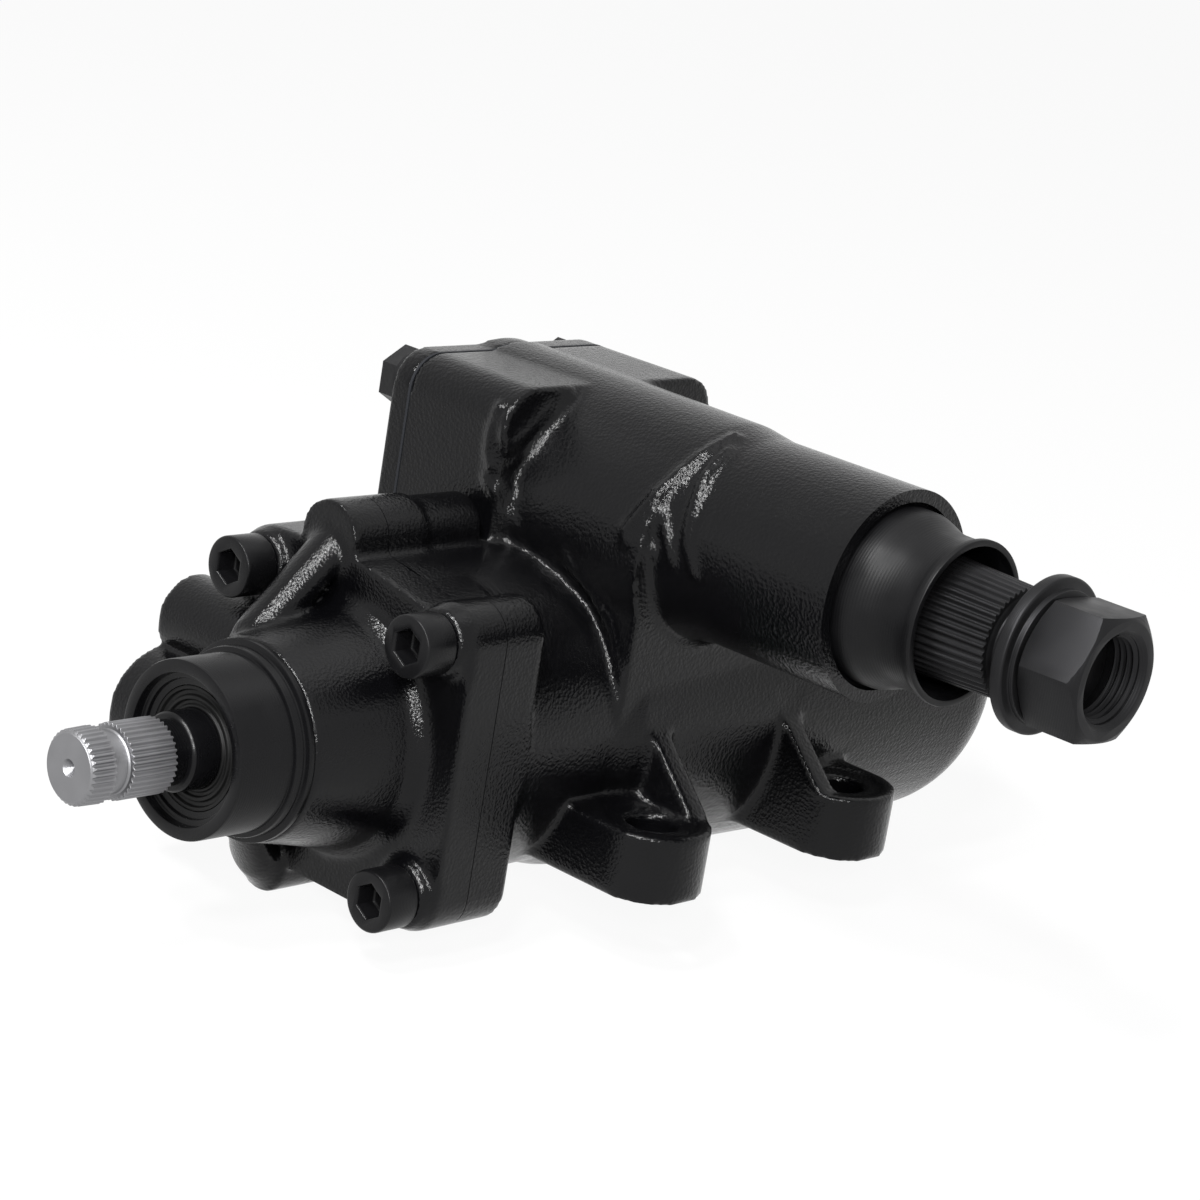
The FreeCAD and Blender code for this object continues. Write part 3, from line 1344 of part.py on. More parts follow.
def input_shaft():
    """The input shaft with serrated end, clamp groove and the valve's spool."""
    body = new_body("input_shaft", on_worm)
    spool = d.spool_r - d.running_gap
    groove_low = d.clamp_groove_at - d.clamp_groove_width / 2
    groove_high = d.clamp_groove_at + d.clamp_groove_width / 2
    bore = d.torsion_r + d.torsion_play
    turn(body, [
        (ZERO, d.input_tip), (d.input_spline_r - d.edge_break, d.input_tip),
        (d.input_spline_r, d.input_tip + d.edge_break),
        (d.input_spline_r, groove_low), (d.clamp_groove_r, groove_low), (d.clamp_groove_r, groove_high),
        (d.input_spline_r, groove_high), (d.input_spline_r, d.input_spline_end),
        (d.input_neck_r, d.input_spline_end + d.edge_break), (d.input_neck_r, d.input_collar),
        (d.input_journal_r - d.edge_break, d.input_collar),
        (d.input_journal_r, d.input_collar + d.edge_break),
        (d.input_journal_r, d.spool_start),
        (spool, d.spool_start), (spool, d.spool_end), (bore, d.spool_end),
        (bore, d.torsion_grip_end), (d.torsion_r, d.torsion_grip_end), (d.torsion_r, d.torsion_start),
        (ZERO, d.torsion_start),
    ])
    for step in range(int(d.spool_slots.value)):
        slot = new_sketch(body, "XY_Plane", d.spool_slot_high)
        x, y = polar(d.spool_slot_at, as_size(step) / d.spool_slots)
        draw_circles(slot, [(x, y, d.spool_slot_r)])
        pocket(body, slot, d.spool_slot_high - d.spool_slot_low)
    return body


def torsion_bar():
    return ring_body("torsion_bar", on_worm, ZERO, d.torsion_r, d.torsion_start, d.torsion_end)


def finish():
    """Checks the document and writes each node's solid."""
    doc.recompute()
    broken = [item.Name for item in doc.Objects if "Invalid" in item.State or "Error" in item.State]
    if broken:
        raise RuntimeError(f"not built: {broken}")
    os.makedirs("parts", exist_ok=True)
    for item in nodes:
        if item.Shape.isNull() or not item.Shape.isValid():
            raise RuntimeError(f"not a good solid: {item.Label}")
        item.Shape.exportStep(f"parts/{item.Label}.step")


inner_bearing_end = d.inner_bearing_at + d.bearing_length
outer_bearing_end = d.outer_bearing_at + d.bearing_length
journal_gap = d.shaft_r + d.running_gap
input_gap = d.input_journal_r + d.running_gap
input_bearing_end = d.valve_bore_end - d.input_bearing_length
input_seal_end = input_bearing_end - d.seat_wall - d.input_seal_length
input_clip_end = input_seal_end - d.input_clip_thick
boss_end = d.side_face + d.side_boss_reach
worm_bearing_end = d.worm_bearing_at + d.worm_bearing_length
piston_r = d.bore_r - d.piston_gap

nodes = [
    gear_housing(), valve_cover(), valve_cover_screws(), valve_cover_seal(), port_seats(),
    side_cover(), side_gasket(), side_cover_bolts(), lash_adjuster_screw(), adjuster_lock_nut(),
    ring_body("side_cover_bushing", on_pitman, d.stub_r + d.running_gap, d.bushing_r,
              boss_end - d.bushing_length, boss_end),
    ring_body("inner_sector_bearing", on_pitman, journal_gap, d.bearing_r, d.inner_bearing_at,
              inner_bearing_end),
    ring_body("outer_sector_bearing", on_pitman, journal_gap, d.bearing_r, d.outer_bearing_at,
              outer_bearing_end),
    ring_body("sector_seal", on_pitman, journal_gap, d.seal_r, d.seal_at, d.seal_at + d.seal_length),
    split_ring("sector_retaining_ring", on_pitman, d.clip_inner_r, d.clip_r, d.clip_at,
               d.clip_at + d.clip_thick, d.clip_gap),
    pitman_dust_cup(), sector_shaft(),
    ring_body("pitman_washer", on_pitman, d.thread_r + d.nut_gap, d.washer_r, washer_at,
              washer_at + d.washer_thick),
    pitman_nut(), rack_piston(),
    ring_body("piston_ring", on_worm, piston_r - d.ring_depth, d.bore_r - d.running_gap / 2, d.ring_at,
              d.ring_at + d.ring_width),
    piston_end_plug(), recirculating_balls(), ball_return_guide(), guide_clamp(), worm_shaft(),
    bearing_race("worm_bearing_inner_race", d.worm_journal_r, d.race_inner_r),
    bearing_race("worm_bearing_outer_race", d.race_outer_r, d.worm_bearing_r), worm_bearing_balls(),
    ring_body("worm_bearing_retainer", on_worm, d.retainer_r, d.worm_bearing_r, worm_bearing_end,
              worm_bearing_end + d.retainer_length),
    valve_body(), valve_rings(), input_shaft(), torsion_bar(),
    ring_body("input_bearing", on_worm, input_gap, d.input_bearing_r, input_bearing_end, d.valve_bore_end),
    ring_body("input_seal", on_worm, input_gap, d.input_seal_r, input_seal_end,
              input_bearing_end - d.seat_wall),
    split_ring("input_retaining_ring", on_worm, d.input_clip_inner_r, d.input_clip_r, input_clip_end,
               input_seal_end, d.clip_gap),
    ring_body("input_dust_seal", on_worm, input_gap, d.input_seal_r,
              d.nose_face + d.nose_recess_depth + d.nose_step_depth, input_clip_end),
]
finish()
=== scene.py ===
# %% [markdown]
# # A recirculating-ball steering gearbox, dressed for its portrait
# The real thing is a heavy iron casting painted gloss black. A bare steel input
# shaft comes out of one end and a big serrated output shaft out of the side.
# The solids come from the imported model, and this lesson adds what paint,
# casting and cutting tools leave on them: soft cast corners, grain,
# serrations, threads and sockets.

# %% Load the model
import math

import bmesh
import bpy
import numpy as np
from mathutils import Matrix, Vector
from mathutils.bvhtree import BVHTree


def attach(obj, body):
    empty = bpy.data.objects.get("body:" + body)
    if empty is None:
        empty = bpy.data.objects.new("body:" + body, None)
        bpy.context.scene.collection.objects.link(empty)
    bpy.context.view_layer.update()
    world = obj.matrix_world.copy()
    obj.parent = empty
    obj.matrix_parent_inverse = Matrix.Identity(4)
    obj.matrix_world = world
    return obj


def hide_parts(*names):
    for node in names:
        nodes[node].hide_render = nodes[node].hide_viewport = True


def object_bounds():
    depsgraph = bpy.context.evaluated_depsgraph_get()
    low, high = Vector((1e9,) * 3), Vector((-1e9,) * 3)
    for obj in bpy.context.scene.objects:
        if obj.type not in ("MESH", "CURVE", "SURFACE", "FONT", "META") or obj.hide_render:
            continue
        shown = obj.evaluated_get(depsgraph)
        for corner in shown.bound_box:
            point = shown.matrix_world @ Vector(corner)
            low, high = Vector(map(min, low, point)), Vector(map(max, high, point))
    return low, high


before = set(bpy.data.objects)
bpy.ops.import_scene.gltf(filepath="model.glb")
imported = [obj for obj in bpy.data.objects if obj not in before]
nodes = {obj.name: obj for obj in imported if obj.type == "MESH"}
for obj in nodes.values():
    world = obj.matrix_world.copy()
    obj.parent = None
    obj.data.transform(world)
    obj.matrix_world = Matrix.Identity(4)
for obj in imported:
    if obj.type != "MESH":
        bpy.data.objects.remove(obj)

CAD_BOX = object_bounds()

# %% [markdown]
# Two shafts cross here without meeting. The worm lies along Y, low in the
# casting, and the output shaft lies along X above it. Places are written in
# millimetres, and one factor turns them into Blender's metres.

# %% The two shafts and the joint faces
MM = 0.001
WORM_Z = 31
PITMAN_Y = -10
PITMAN_Z = 88
WORM = Vector((0, PITMAN_Y * MM, WORM_Z * MM))
PITMAN = Vector((0, PITMAN_Y * MM, PITMAN_Z * MM))
FRONT_JOINT_Y = -86.6
SIDE_JOINT_X = -40
BARREL_END_X = 99.8
print("between the shafts:", PITMAN_Z - WORM_Z, "mm")

# %% [markdown]
# Colours are picked as sRGB hex values, as in a paint program. The shaders work
# in linear light, so one function turns them over. Nodes are added by one small
# function too, because every material is a handful of them.

# %% Colour and node helpers
def linear(code):
    parts = [int(code[i:i + 2], 16) / 255 for i in (1, 3, 5)]
    return tuple(p / 12.92 if p <= 0.04045 else ((p + 0.055) / 1.055) ** 2.4 for p in parts) + (1.0,)


def add(tree, kind, settings=None, links=None):
    """Adds one node: settings go to its properties or sockets, links to its inputs."""
    node = tree.nodes.new(kind)
    for key, value in (settings or {}).items():
        if isinstance(key, str) and hasattr(node, key):
            setattr(node, key, value)
        else:
            node.inputs[key].default_value = value
    for key, source in (links or {}).items():
        tree.links.new(source, node.inputs[key])
    return node


def start(name):
    material = bpy.data.materials.new(name)
    material.use_nodes = True
    material.node_tree.nodes.clear()
    return material, material.node_tree


def close(tree, shader):
    add(tree, "ShaderNodeOutputMaterial", links={"Surface": shader.outputs[0]})


print("middle grey in linear light:", round(linear("#808080")[0], 3))

# %% [markdown]
# Sand-cast iron keeps the grain of the sand, and the gloss enamel sprayed over it
# turns each grain into a tiny bright dome. The paint pools a little, so its gloss
# changes slowly over the surface. A noise for the sand and a cell pattern for the
# pits, added up in one bump, give both without any real relief.

# %% Gloss enamel on cast iron
POOL_SCALE = 45.0
GRAIN_HEIGHT = 0.6 * MM
ENAMEL_DARK = linear("#030304")
ENAMEL_LIGHT = linear("#070708")


def cast_enamel(name, grain, depth):
    """Black enamel over sand grain; grain is its width in mm."""
    material, tree = start(name)
    place = add(tree, "ShaderNodeTexCoord").outputs["Object"]
    sand = add(tree, "ShaderNodeTexNoise", {"Scale": 1 / (grain * MM), "Detail": 3.0, "Roughness": 0.6},
               {"Vector": place})
    pits = add(tree, "ShaderNodeTexVoronoi", {"Scale": 0.6 / (grain * MM)}, {"Vector": place})
    pooled = add(tree, "ShaderNodeTexNoise", {"Scale": POOL_SCALE, "Detail": 2.0}, {"Vector": place})
    rough = add(tree, "ShaderNodeMapRange",
                {"From Min": 0.3, "From Max": 0.7, "To Min": 0.12, "To Max": 0.19},
                {"Value": pooled.outputs["Fac"]})
    tint = add(tree, "ShaderNodeMix", {"data_type": "RGBA", "A": ENAMEL_DARK, "B": ENAMEL_LIGHT},
               {"Factor": pooled.outputs["Fac"]})
    height = add(tree, "ShaderNodeMath", {"operation": "ADD"},
                 {0: sand.outputs["Fac"], 1: pits.outputs["Distance"]})
    bump = add(tree, "ShaderNodeBump", {"Strength": depth, "Distance": GRAIN_HEIGHT},
               {"Height": height.outputs[0]})
    shader = add(tree, "ShaderNodeBsdfPrincipled", {"Specular IOR Level": 0.2},
                 {"Base Color": tint.outputs["Result"], "Roughness": rough.outputs["Result"],
                  "Normal": bump.outputs["Normal"]})
    close(tree, shader)
    return material


# enamel over grey iron cast in sand: deep black, with sparkling grain along every fillet
# the real grain is a quarter of a millimetre; it is drawn at 0.6 mm so that it shows
rough_enamel = cast_enamel("black_enamel_on_sand_casting", 0.6, 0.22)
# the same on a cover cast in finer sand: calmer, with a smaller grain, also drawn too coarse
fine_enamel = cast_enamel("black_enamel_on_finer_sand_casting", 0.5, 0.17)
print("enamels:", rough_enamel.name, fine_enamel.name)

# %% [markdown]
# Where a tool has turned a piece, the feed of the tool leaves fine rings about
# the shaft. A wave pattern along the shaft draws them, and a noise smears the
# gloss as oil and handling do. One function serves all turned and moulded
# pieces, because they differ only in colour, gloss and the spacing of the rings.

# %% A surface with turned rings
WAVE_LENGTH = 0.314
SMEAR_SCALE = 130.0
RING_HEIGHT = 0.2 * MM


def turned_metal(name, code, metallic, roughness, ring_mm, axis, depth=0.12):
    """Rings along one axis; a wave of scale 1 repeats every WAVE_LENGTH."""
    material, tree = start(name)
    place = add(tree, "ShaderNodeTexCoord").outputs["Object"]
    band = add(tree, "ShaderNodeTexWave", {"bands_direction": axis, "Scale": WAVE_LENGTH / (ring_mm * MM),
                                           "Distortion": 0.6, "Detail": 2.0, "Detail Scale": 3.0},
               {"Vector": place})
    smear = add(tree, "ShaderNodeTexNoise", {"Scale": SMEAR_SCALE, "Detail": 4.0}, {"Vector": place})
    rough = add(tree, "ShaderNodeMapRange", {"From Min": 0.3, "From Max": 0.7, "To Min": roughness - 0.06,
                                             "To Max": roughness + 0.08}, {"Value": smear.outputs["Fac"]})
    dark = linear(code)
    light = tuple(min(1, c * 1.35) for c in dark[:3]) + (1.0,)
    tint = add(tree, "ShaderNodeMix", {"data_type": "RGBA", "A": dark, "B": light},
               {"Factor": smear.outputs["Fac"]})
    bump = add(tree, "ShaderNodeBump", {"Strength": depth, "Distance": RING_HEIGHT},
               {"Height": band.outputs["Fac"]})
    shader = add(tree, "ShaderNodeBsdfPrincipled", {"Metallic": metallic, "Specular IOR Level": 0.16},
                 {"Base Color": tint.outputs["Result"], "Roughness": rough.outputs["Result"],
                  "Normal": bump.outputs["Normal"]})
    close(tree, shader)
    return material


print("wave scale for rings 0.8 mm apart:", round(WAVE_LENGTH / (0.8 * MM), 1))

# %% [markdown]
# The enamelled and the dark pieces. All rings here are drawn at 0.5 to 0.8 mm,
# coarser than the real feed of 0.1 to 0.2 mm, so that they show.

# %% Painted and blackened pieces
# enamel over iron turned or pressed smooth: no grain, a satin black with a wide dull shine
smooth_enamel = turned_metal("black_enamel_on_turned_iron", "#060607", 0.0, 0.42, 0.8, "X")
# enamel over the turned nose: glossier, with one clean line of light along each step
nose_enamel = turned_metal("black_enamel_on_turned_nose", "#070708", 0.0, 0.26, 0.8, "Y")
# steel boiled black in salts: a dark grey that still shines like metal
dark_steel = turned_metal("black_oxide_steel", "#212122", 0.85, 0.46, 0.5, "X")
# enamel over the heads of the screws: black and smooth, with bright edges
screw_enamel = turned_metal("black_enamel_on_steel", "#09090A", 0.0, 0.28, 0.5, "Y")
print("painted:", smooth_enamel.name, nose_enamel.name, screw_enamel.name)

# %% [markdown]
# The bare metals, and the soft materials that seal the shafts. Most of them are
# hidden inside, but they show when the pieces are looked at one by one.

# %% Bare and soft pieces
# carbon steel, turned and hobbed, left bare: mid grey with a soft long shine
bare_steel = turned_metal("bare_cut_steel", "#7C7C7E", 1.0, 0.42, 0.5, "Y")
# bearing steel, hardened and ground: light grey and close to a mirror
ground_steel = turned_metal("ground_bearing_steel", "#B9BABC", 1.0, 0.22, 0.3, "Y")
# free-cutting brass, turned: warm yellow with fine rings
turned_brass = turned_metal("turned_brass", "#B98F45", 1.0, 0.30, 0.4, "X")
# nitrile rubber, moulded: black with a dull sheen
black_rubber = turned_metal("moulded_nitrile_rubber", "#0B0B0B", 0.0, 0.42, 1.2, "Y", 0.05)
# filled sealing plastic, turned from tube: grey green and waxy
seal_plastic = turned_metal("filled_sealing_plastic", "#2C332E", 0.0, 0.45, 0.6, "Y", 0.05)
# fibre gasket paper, cut from sheet: dark and without shine
gasket_paper = turned_metal("gasket_paper", "#1A1B1E", 0.0, 0.7, 2.0, "X", 0.05)
print("materials:", len(bpy.data.materials))

# %% [markdown]
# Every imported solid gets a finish, also those that a finer piece replaces later.
# What isn't named below is a bearing part or a shaft of ground steel.

# %% Which node gets which finish
FINISH = {
    "gear_housing": rough_enamel, "valve_cover": rough_enamel, "side_cover": rough_enamel,
    "valve_cover_screws": screw_enamel, "side_cover_bolts": dark_steel, "lash_adjuster_screw": dark_steel,
    "adjuster_lock_nut": dark_steel, "pitman_dust_cup": smooth_enamel, "pitman_washer": dark_steel,
    "pitman_nut": dark_steel, "sector_shaft": dark_steel, "input_shaft": bare_steel,
    "port_seats": turned_brass, "side_cover_bushing": turned_brass, "side_cover_gasket": gasket_paper,
    "valve_cover_seal": black_rubber, "sector_seal": black_rubber, "input_seal": black_rubber,
    "input_dust_seal": black_rubber, "piston_ring": seal_plastic, "valve_rings": seal_plastic,
}
for name, node in nodes.items():
    node.data.materials.clear()
    node.data.materials.append(FINISH.get(name, ground_steel))
print("finished nodes:", len(nodes), "of them ground steel:", len(nodes) - len(FINISH))

# %% [markdown]
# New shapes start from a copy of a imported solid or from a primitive, and are
# finished with modifiers that are applied at once. An operator acts on all that
# is selected, so each helper first selects its own piece and nothing else.

# %% Helpers for one piece
def only(piece):
    """Selects one object and nothing else, and makes it the active one."""
    bpy.ops.object.select_all(action="DESELECT")
    piece.select_set(True)
    bpy.context.view_layer.objects.active = piece


def finish_with(piece, kind, **settings):
    """Puts a modifier on a piece and applies it at once."""
    only(piece)
    modifier = piece.modifiers.new(kind.lower(), kind)
    for key, value in settings.items():
        setattr(modifier, key, value)
    bpy.ops.object.modifier_apply(modifier=modifier.name)


def copy_of(node, name):
    """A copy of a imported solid, with its loose triangles merged."""
    piece = bpy.data.objects.new(name, nodes[node].data.copy())
    bpy.context.scene.collection.objects.link(piece)
    piece.data.materials.clear()
    only(piece)
    bpy.ops.object.mode_set(mode="EDIT")
    bpy.ops.mesh.select_all(action="SELECT")
    bpy.ops.mesh.remove_doubles(threshold=0.005 * MM)
    bpy.ops.object.mode_set(mode="OBJECT")
    return piece


def settle(piece):
    """Moves a primitive's place, turn and scale into its mesh."""
    only(piece)
    bpy.ops.object.transform_apply(location=True, rotation=True, scale=True)
    return piece


def smooth_over(piece, degrees):
    """Shades a piece smooth, apart from edges that bend more than so many degrees."""
    only(piece)
    bpy.ops.object.shade_smooth_by_angle(angle=math.radians(degrees))


print("triangles in the housing's solid:", len(nodes["gear_housing"].data.polygons))

# %% [markdown]
# Simple bodies are added to a casting, or cut out of it, as a pattern maker
# glues on wood or carves it away: a stretched ball and a tapered bar do for all
# of it. Joined bodies may overlap, because the remesh that follows melts them
# into one skin.

# %% Bodies to add or to carve
def ball(spot, radii, turn=(0, 0, 0)):
    """A stretched ball, as a form to add to a casting or to scoop out of it."""
    bpy.ops.object.select_all(action="DESELECT")
    bpy.ops.mesh.primitive_uv_sphere_add(segments=32, ring_count=20, radius=1, location=Vector(spot) * MM)
    piece = bpy.context.object
    piece.scale = Vector(radii) * MM
    piece.rotation_euler = [math.radians(angle) for angle in turn]
    return settle(piece)


def horn(start, end, start_r, end_r):
    """A tapered round bar between two points."""
    start = Vector(start) * MM
    end = Vector(end) * MM
    bpy.ops.object.select_all(action="DESELECT")
    bpy.ops.mesh.primitive_cone_add(vertices=40, radius1=start_r * MM, radius2=end_r * MM,
                                    depth=(end - start).length, location=(start + end) / 2)
    piece = bpy.context.object
    piece.rotation_euler = (end - start).to_track_quat("Z", "Y").to_euler()
    return settle(piece)


def join(piece, others):
    """Puts other meshes into a piece, without melting them together."""
    only(piece)
    for other in others:
        other.select_set(True)
    bpy.ops.object.join()


def combine(piece, tool, operation):
    """Adds a tool to a piece, cuts it out or keeps what they share, and removes the tool."""
    finish_with(piece, "BOOLEAN", object=tool, operation=operation, solver="EXACT")
    bpy.data.objects.remove(tool)


# %% [markdown]
# The casting is poured in a sand mould, so no edge of it is sharp: where two
# walls meet there is a fillet of two or three millimetres, and outer corners are
# eased. A Bevel modifier trips over solids that run through each other, so the
# solid is remeshed into even small squares, and its hollow corners are relaxed
# until they fill. A hollow corner is found by its bend: the middle of a point's
# neighbours lies above it, on the side its normal points to. The find is spread
# over a few rings of neighbours, so that the Smooth modifier has room to draw a
# round fillet.

# %% Finding hollow corners
BEND = 0.10
FADE = 0.96
LEVELS = 10


def hollow_corners(piece, square, rings, keep):
    """Writes a vertex group that is full in hollow corners and empty on machined faces."""
    mesh = piece.data
    count = len(mesh.vertices)
    spots = np.empty(count * 3)
    mesh.vertices.foreach_get("co", spots)
    spots = spots.reshape(-1, 3)
    normals = np.empty(count * 3)
    mesh.vertices.foreach_get("normal", normals)
    normals = normals.reshape(-1, 3)
    pairs = np.empty(len(mesh.edges) * 2, dtype=int)
    mesh.edges.foreach_get("vertices", pairs)
    first, second = pairs.reshape(-1, 2).T
    degree = np.bincount(first, minlength=count) + np.bincount(second, minlength=count)
    middle = np.empty((count, 3))
    for axis in range(3):
        total = np.bincount(first, spots[second, axis], count)
        total = total + np.bincount(second, spots[first, axis], count)
        middle[:, axis] = total / degree
    rise = ((middle - spots) * normals).sum(axis=1)
    weight = (rise > BEND * square).astype(float)
    for ring in range(rings):
        spread = weight.copy()
        np.maximum.at(spread, first, weight[second] * FADE)
        np.maximum.at(spread, second, weight[first] * FADE)
        weight = spread
    weight[keep(spots / MM)] = 0
    group = piece.vertex_groups.new(name="corners")
    half = 0.5 / LEVELS
    for level in range(1, LEVELS + 1):
        above = weight > (level - 1) / LEVELS + half
        chosen = np.nonzero(above & (weight <= level / LEVELS + half))[0]
        if len(chosen):
            group.add([int(index) for index in chosen], level / LEVELS, "REPLACE")
    print(piece.name, "points:", count, "in hollow corners:", int((weight > 0).sum()))


print("a corner counts as hollow from", BEND, "of a square")

# %% [markdown]
# After the remesh the whole skin is smoothed three times, which rubs off the
# steps of the squares. A flat end would turn round by that, so it is pulled out
# first and milled back afterwards. Triangles that nobody sees, in the bores, are
# merged before those that show.

# %% Casting, milling and thinning
SKIN_ROUNDS = 3
AT_FACE = 0.02 * MM
SEEN_WEIGHT = 0.3


def cast(piece, square, rings, rounds, keep, joint=None):
    """Remeshes a solid, fills its hollow corners and smooths its skin, but not on its joint face."""
    finish_with(piece, "REMESH", mode="VOXEL", voxel_size=square)
    hollow_corners(piece, square, rings, keep)
    finish_with(piece, "SMOOTH", factor=0.5, iterations=rounds, vertex_group="corners")
    skin = [vertex.index for vertex in piece.data.vertices if joint is None or not joint(vertex.co / MM)]
    group = piece.vertex_groups.new(name="skin")
    group.add(skin, 1.0, "REPLACE")
    finish_with(piece, "SMOOTH", factor=0.5, iterations=SKIN_ROUNDS, vertex_group="skin")
    piece.vertex_groups.clear()


def lengthen(piece, axis, level, side, reach=3.0):
    """Pulls a flat end further out, so that relaxing doesn't round the part that stays."""
    for vertex in piece.data.vertices:
        if abs(vertex.co[axis] - level * MM) < AT_FACE:
            vertex.co[axis] += side * reach * MM


def trim(piece, axis, level, side):
    """Cuts a piece off flat, as a mill does, and closes the cut."""
    only(piece)
    spot = [0, 0, 0]
    spot[axis] = level * MM
    normal = [0, 0, 0]
    normal[axis] = side
    bpy.ops.object.mode_set(mode="EDIT")
    bpy.ops.mesh.select_all(action="SELECT")
    bpy.ops.mesh.bisect(plane_co=spot, plane_no=normal, use_fill=True, clear_outer=True)
    bpy.ops.object.mode_set(mode="OBJECT")


def triangles_of(piece):
    return sum(len(face.vertices) - 2 for face in piece.data.polygons)


def thin_out(piece, limit, keep_fine):
    """Lowers the number of triangles, first where a test says nobody looks."""
    group = piece.vertex_groups.new(name="hidden")
    hidden = [vertex.index for vertex in piece.data.vertices if not keep_fine(vertex.co / MM)]
    group.add([vertex.index for vertex in piece.data.vertices], SEEN_WEIGHT, "REPLACE")
    group.add(hidden, 1.0, "REPLACE")
    before = triangles_of(piece)
    if before > limit:
        finish_with(piece, "DECIMATE", ratio=limit / before, vertex_group="hidden",
                    use_collapse_triangulate=True)
    piece.vertex_groups.clear()
    print(piece.name, "triangles:", before, "->", triangles_of(piece))


print("skin smoothed", SKIN_ROUNDS, "times")

# %% [markdown]
# The main casting first gets what the plain solid leaves out: two bosses fade
# into the sector chamber in long tapers, and a scoop beside the output barrel
# saves iron.

# %% Main casting, added forms
main_casting = copy_of("gear_housing", "main_casting")
plain_faces = [tuple(face.vertices) for face in main_casting.data.polygons]
plain_solid = BVHTree.FromPolygons([vertex.co for vertex in main_casting.data.vertices], plain_faces)
join(main_casting, [
    horn((-20, -38.5, 109.0), (0.5, -24.5, 110.5), 7.0, 3.2),
    horn((-12.5, -53, 76.8), (-10, -40, 80), 9.2, 5.0),
])
combine(main_casting, ball((50.8, -44.0, 97), (3.6, 7.0, 13.0), (0, 14, 0)), "DIFFERENCE")
print("main casting before its seams:", triangles_of(main_casting), "triangles")

# %% [markdown]
# The camera stands where the photograph was taken from. Its place, turn and focal
# length were fitted to the edges of the casting. They are given here already,
# because the next step looks along the camera's lines of sight.

# %% Where the photograph was taken from
PHOTO_SIDE = 1200
FOCAL_PIXELS = 3320.56
EYE = Vector((0.5730, -0.6605, 0.2965))
RIGHT = Vector((0.7137, 0.6826, 0.1574))
UP = Vector((-0.2962, 0.0905, 0.9509))
BACK = RIGHT.cross(UP)
print("camera to object:", round(EYE.length, 3), "m")

# %% [markdown]
# Thin raised seams run over this casting, and each catches the light as a fine
# line. Their course follows no size of the gearbox, so it was read off the
# photograph, to a pixel or two. Each reading goes along its line of sight
# to the plain solid, and a thin round bar is laid from one place to the next.

# %% Raised seams
SEAM_R = 1.4
# pixels across and down in the photograph
SIDE_BLOCK_OUTER = [(570, 392), (550, 422), (530, 445), (512, 461),
                    (492, 467), (489, 452), (492, 430), (500, 407)]
SIDE_BLOCK_INNER = [(550, 407), (530, 430), (506, 451), (504, 437), (507, 417)]
PASSAGE_LEFT = [(486, 477), (495, 492), (500, 515), (499, 537)]
PASSAGE_RIGHT = [(505, 486), (512, 502), (514, 525)]
JOINT_RING = [(565, 555), (592, 590), (613, 631), (621, 679)]
SHOULDER_LEFT = [(735, 437), (707, 452), (682, 472), (657, 495),
                 (637, 517), (626, 530), (626, 542), (656, 552)]
SHOULDER_RIGHT = [(730, 450), (708, 472), (698, 495), (691, 520), (687, 545), (694, 572)]
SHOULDER_MIDDLE = [(661, 505), (666, 530), (672, 560)]
# the ring's seam lies this far behind the plain face, in mm, because its fillet fills up
RING_SUNK = 0.5


def place_on(surface, reading, sunk):
    """Where the line of sight through a pixel meets a surface, in mm, or a little behind it."""
    across, down = reading
    sight = RIGHT * (across - PHOTO_SIDE / 2) - UP * (down - PHOTO_SIDE / 2) - BACK * FOCAL_PIXELS
    sight.normalize()
    return surface.ray_cast(EYE, sight)[0] / MM + sight * sunk


for readings, sunk in [(SIDE_BLOCK_OUTER, 0), (SIDE_BLOCK_INNER, 0), (PASSAGE_LEFT, 0), (PASSAGE_RIGHT, 0),
                       (JOINT_RING, RING_SUNK), (SHOULDER_LEFT, 0), (SHOULDER_RIGHT, 0), (SHOULDER_MIDDLE, 0)]:
    path = [place_on(plain_solid, reading, sunk) for reading in readings]
    join(main_casting, [horn(one, two, SEAM_R, SEAM_R) for one, two in zip(path, path[1:])]
         + [ball(spot, (SEAM_R, SEAM_R, SEAM_R)) for spot in path])
    length = sum((two - one).length for one, two in zip(path, path[1:]))
    print("seam of", len(path), "points,", round(length), "mm long")

# %% [markdown]
# Some faces are cut after casting and must stay as crisp as the solid: the spot
# faces on the lugs and everything inside the bores. One test tells them from the
# cast skin by their distance from the shafts. A second one names what lies deep
# in the bores, where triangles may be large.

# %% Machined places of the main casting
LUG_X = 58
LUG_Y = 38
SPOT_FACE_R = 13.2
LUG_MIDDLE_Z = 14
RACK_BORE_R = 38.5
CROSSING_R = 41
RACK_BORE_END_Y = 120
BARREL_BORE_R = 26
BARREL_START_X = 15
HIDDEN_RACK_R = 38
HIDDEN_RACK_END_Y = 125
HIDDEN_BARREL_R = 25.4
HIDDEN_BARREL_END_X = 95


def from_worm(spots):
    return np.hypot(spots[..., 0], spots[..., 2] - WORM_Z)


def from_pitman(spots):
    return np.hypot(spots[..., 1] - PITMAN_Y, spots[..., 2] - PITMAN_Z)


def housing_machined(spots):
    lug = np.hypot(np.abs(spots[:, 0]) - LUG_X, np.abs(spots[:, 1]) - LUG_Y) < SPOT_FACE_R
    before_end = spots[:, 1] < RACK_BORE_END_Y
    near_pitman = from_pitman(spots) < BARREL_BORE_R
    crossing = (from_worm(spots) < CROSSING_R) & before_end & near_pitman
    rack = (from_worm(spots) < RACK_BORE_R) & before_end
    barrel = near_pitman & (spots[:, 0] > BARREL_START_X)
    return (lug & (spots[:, 2] > LUG_MIDDLE_Z)) | crossing | rack | barrel


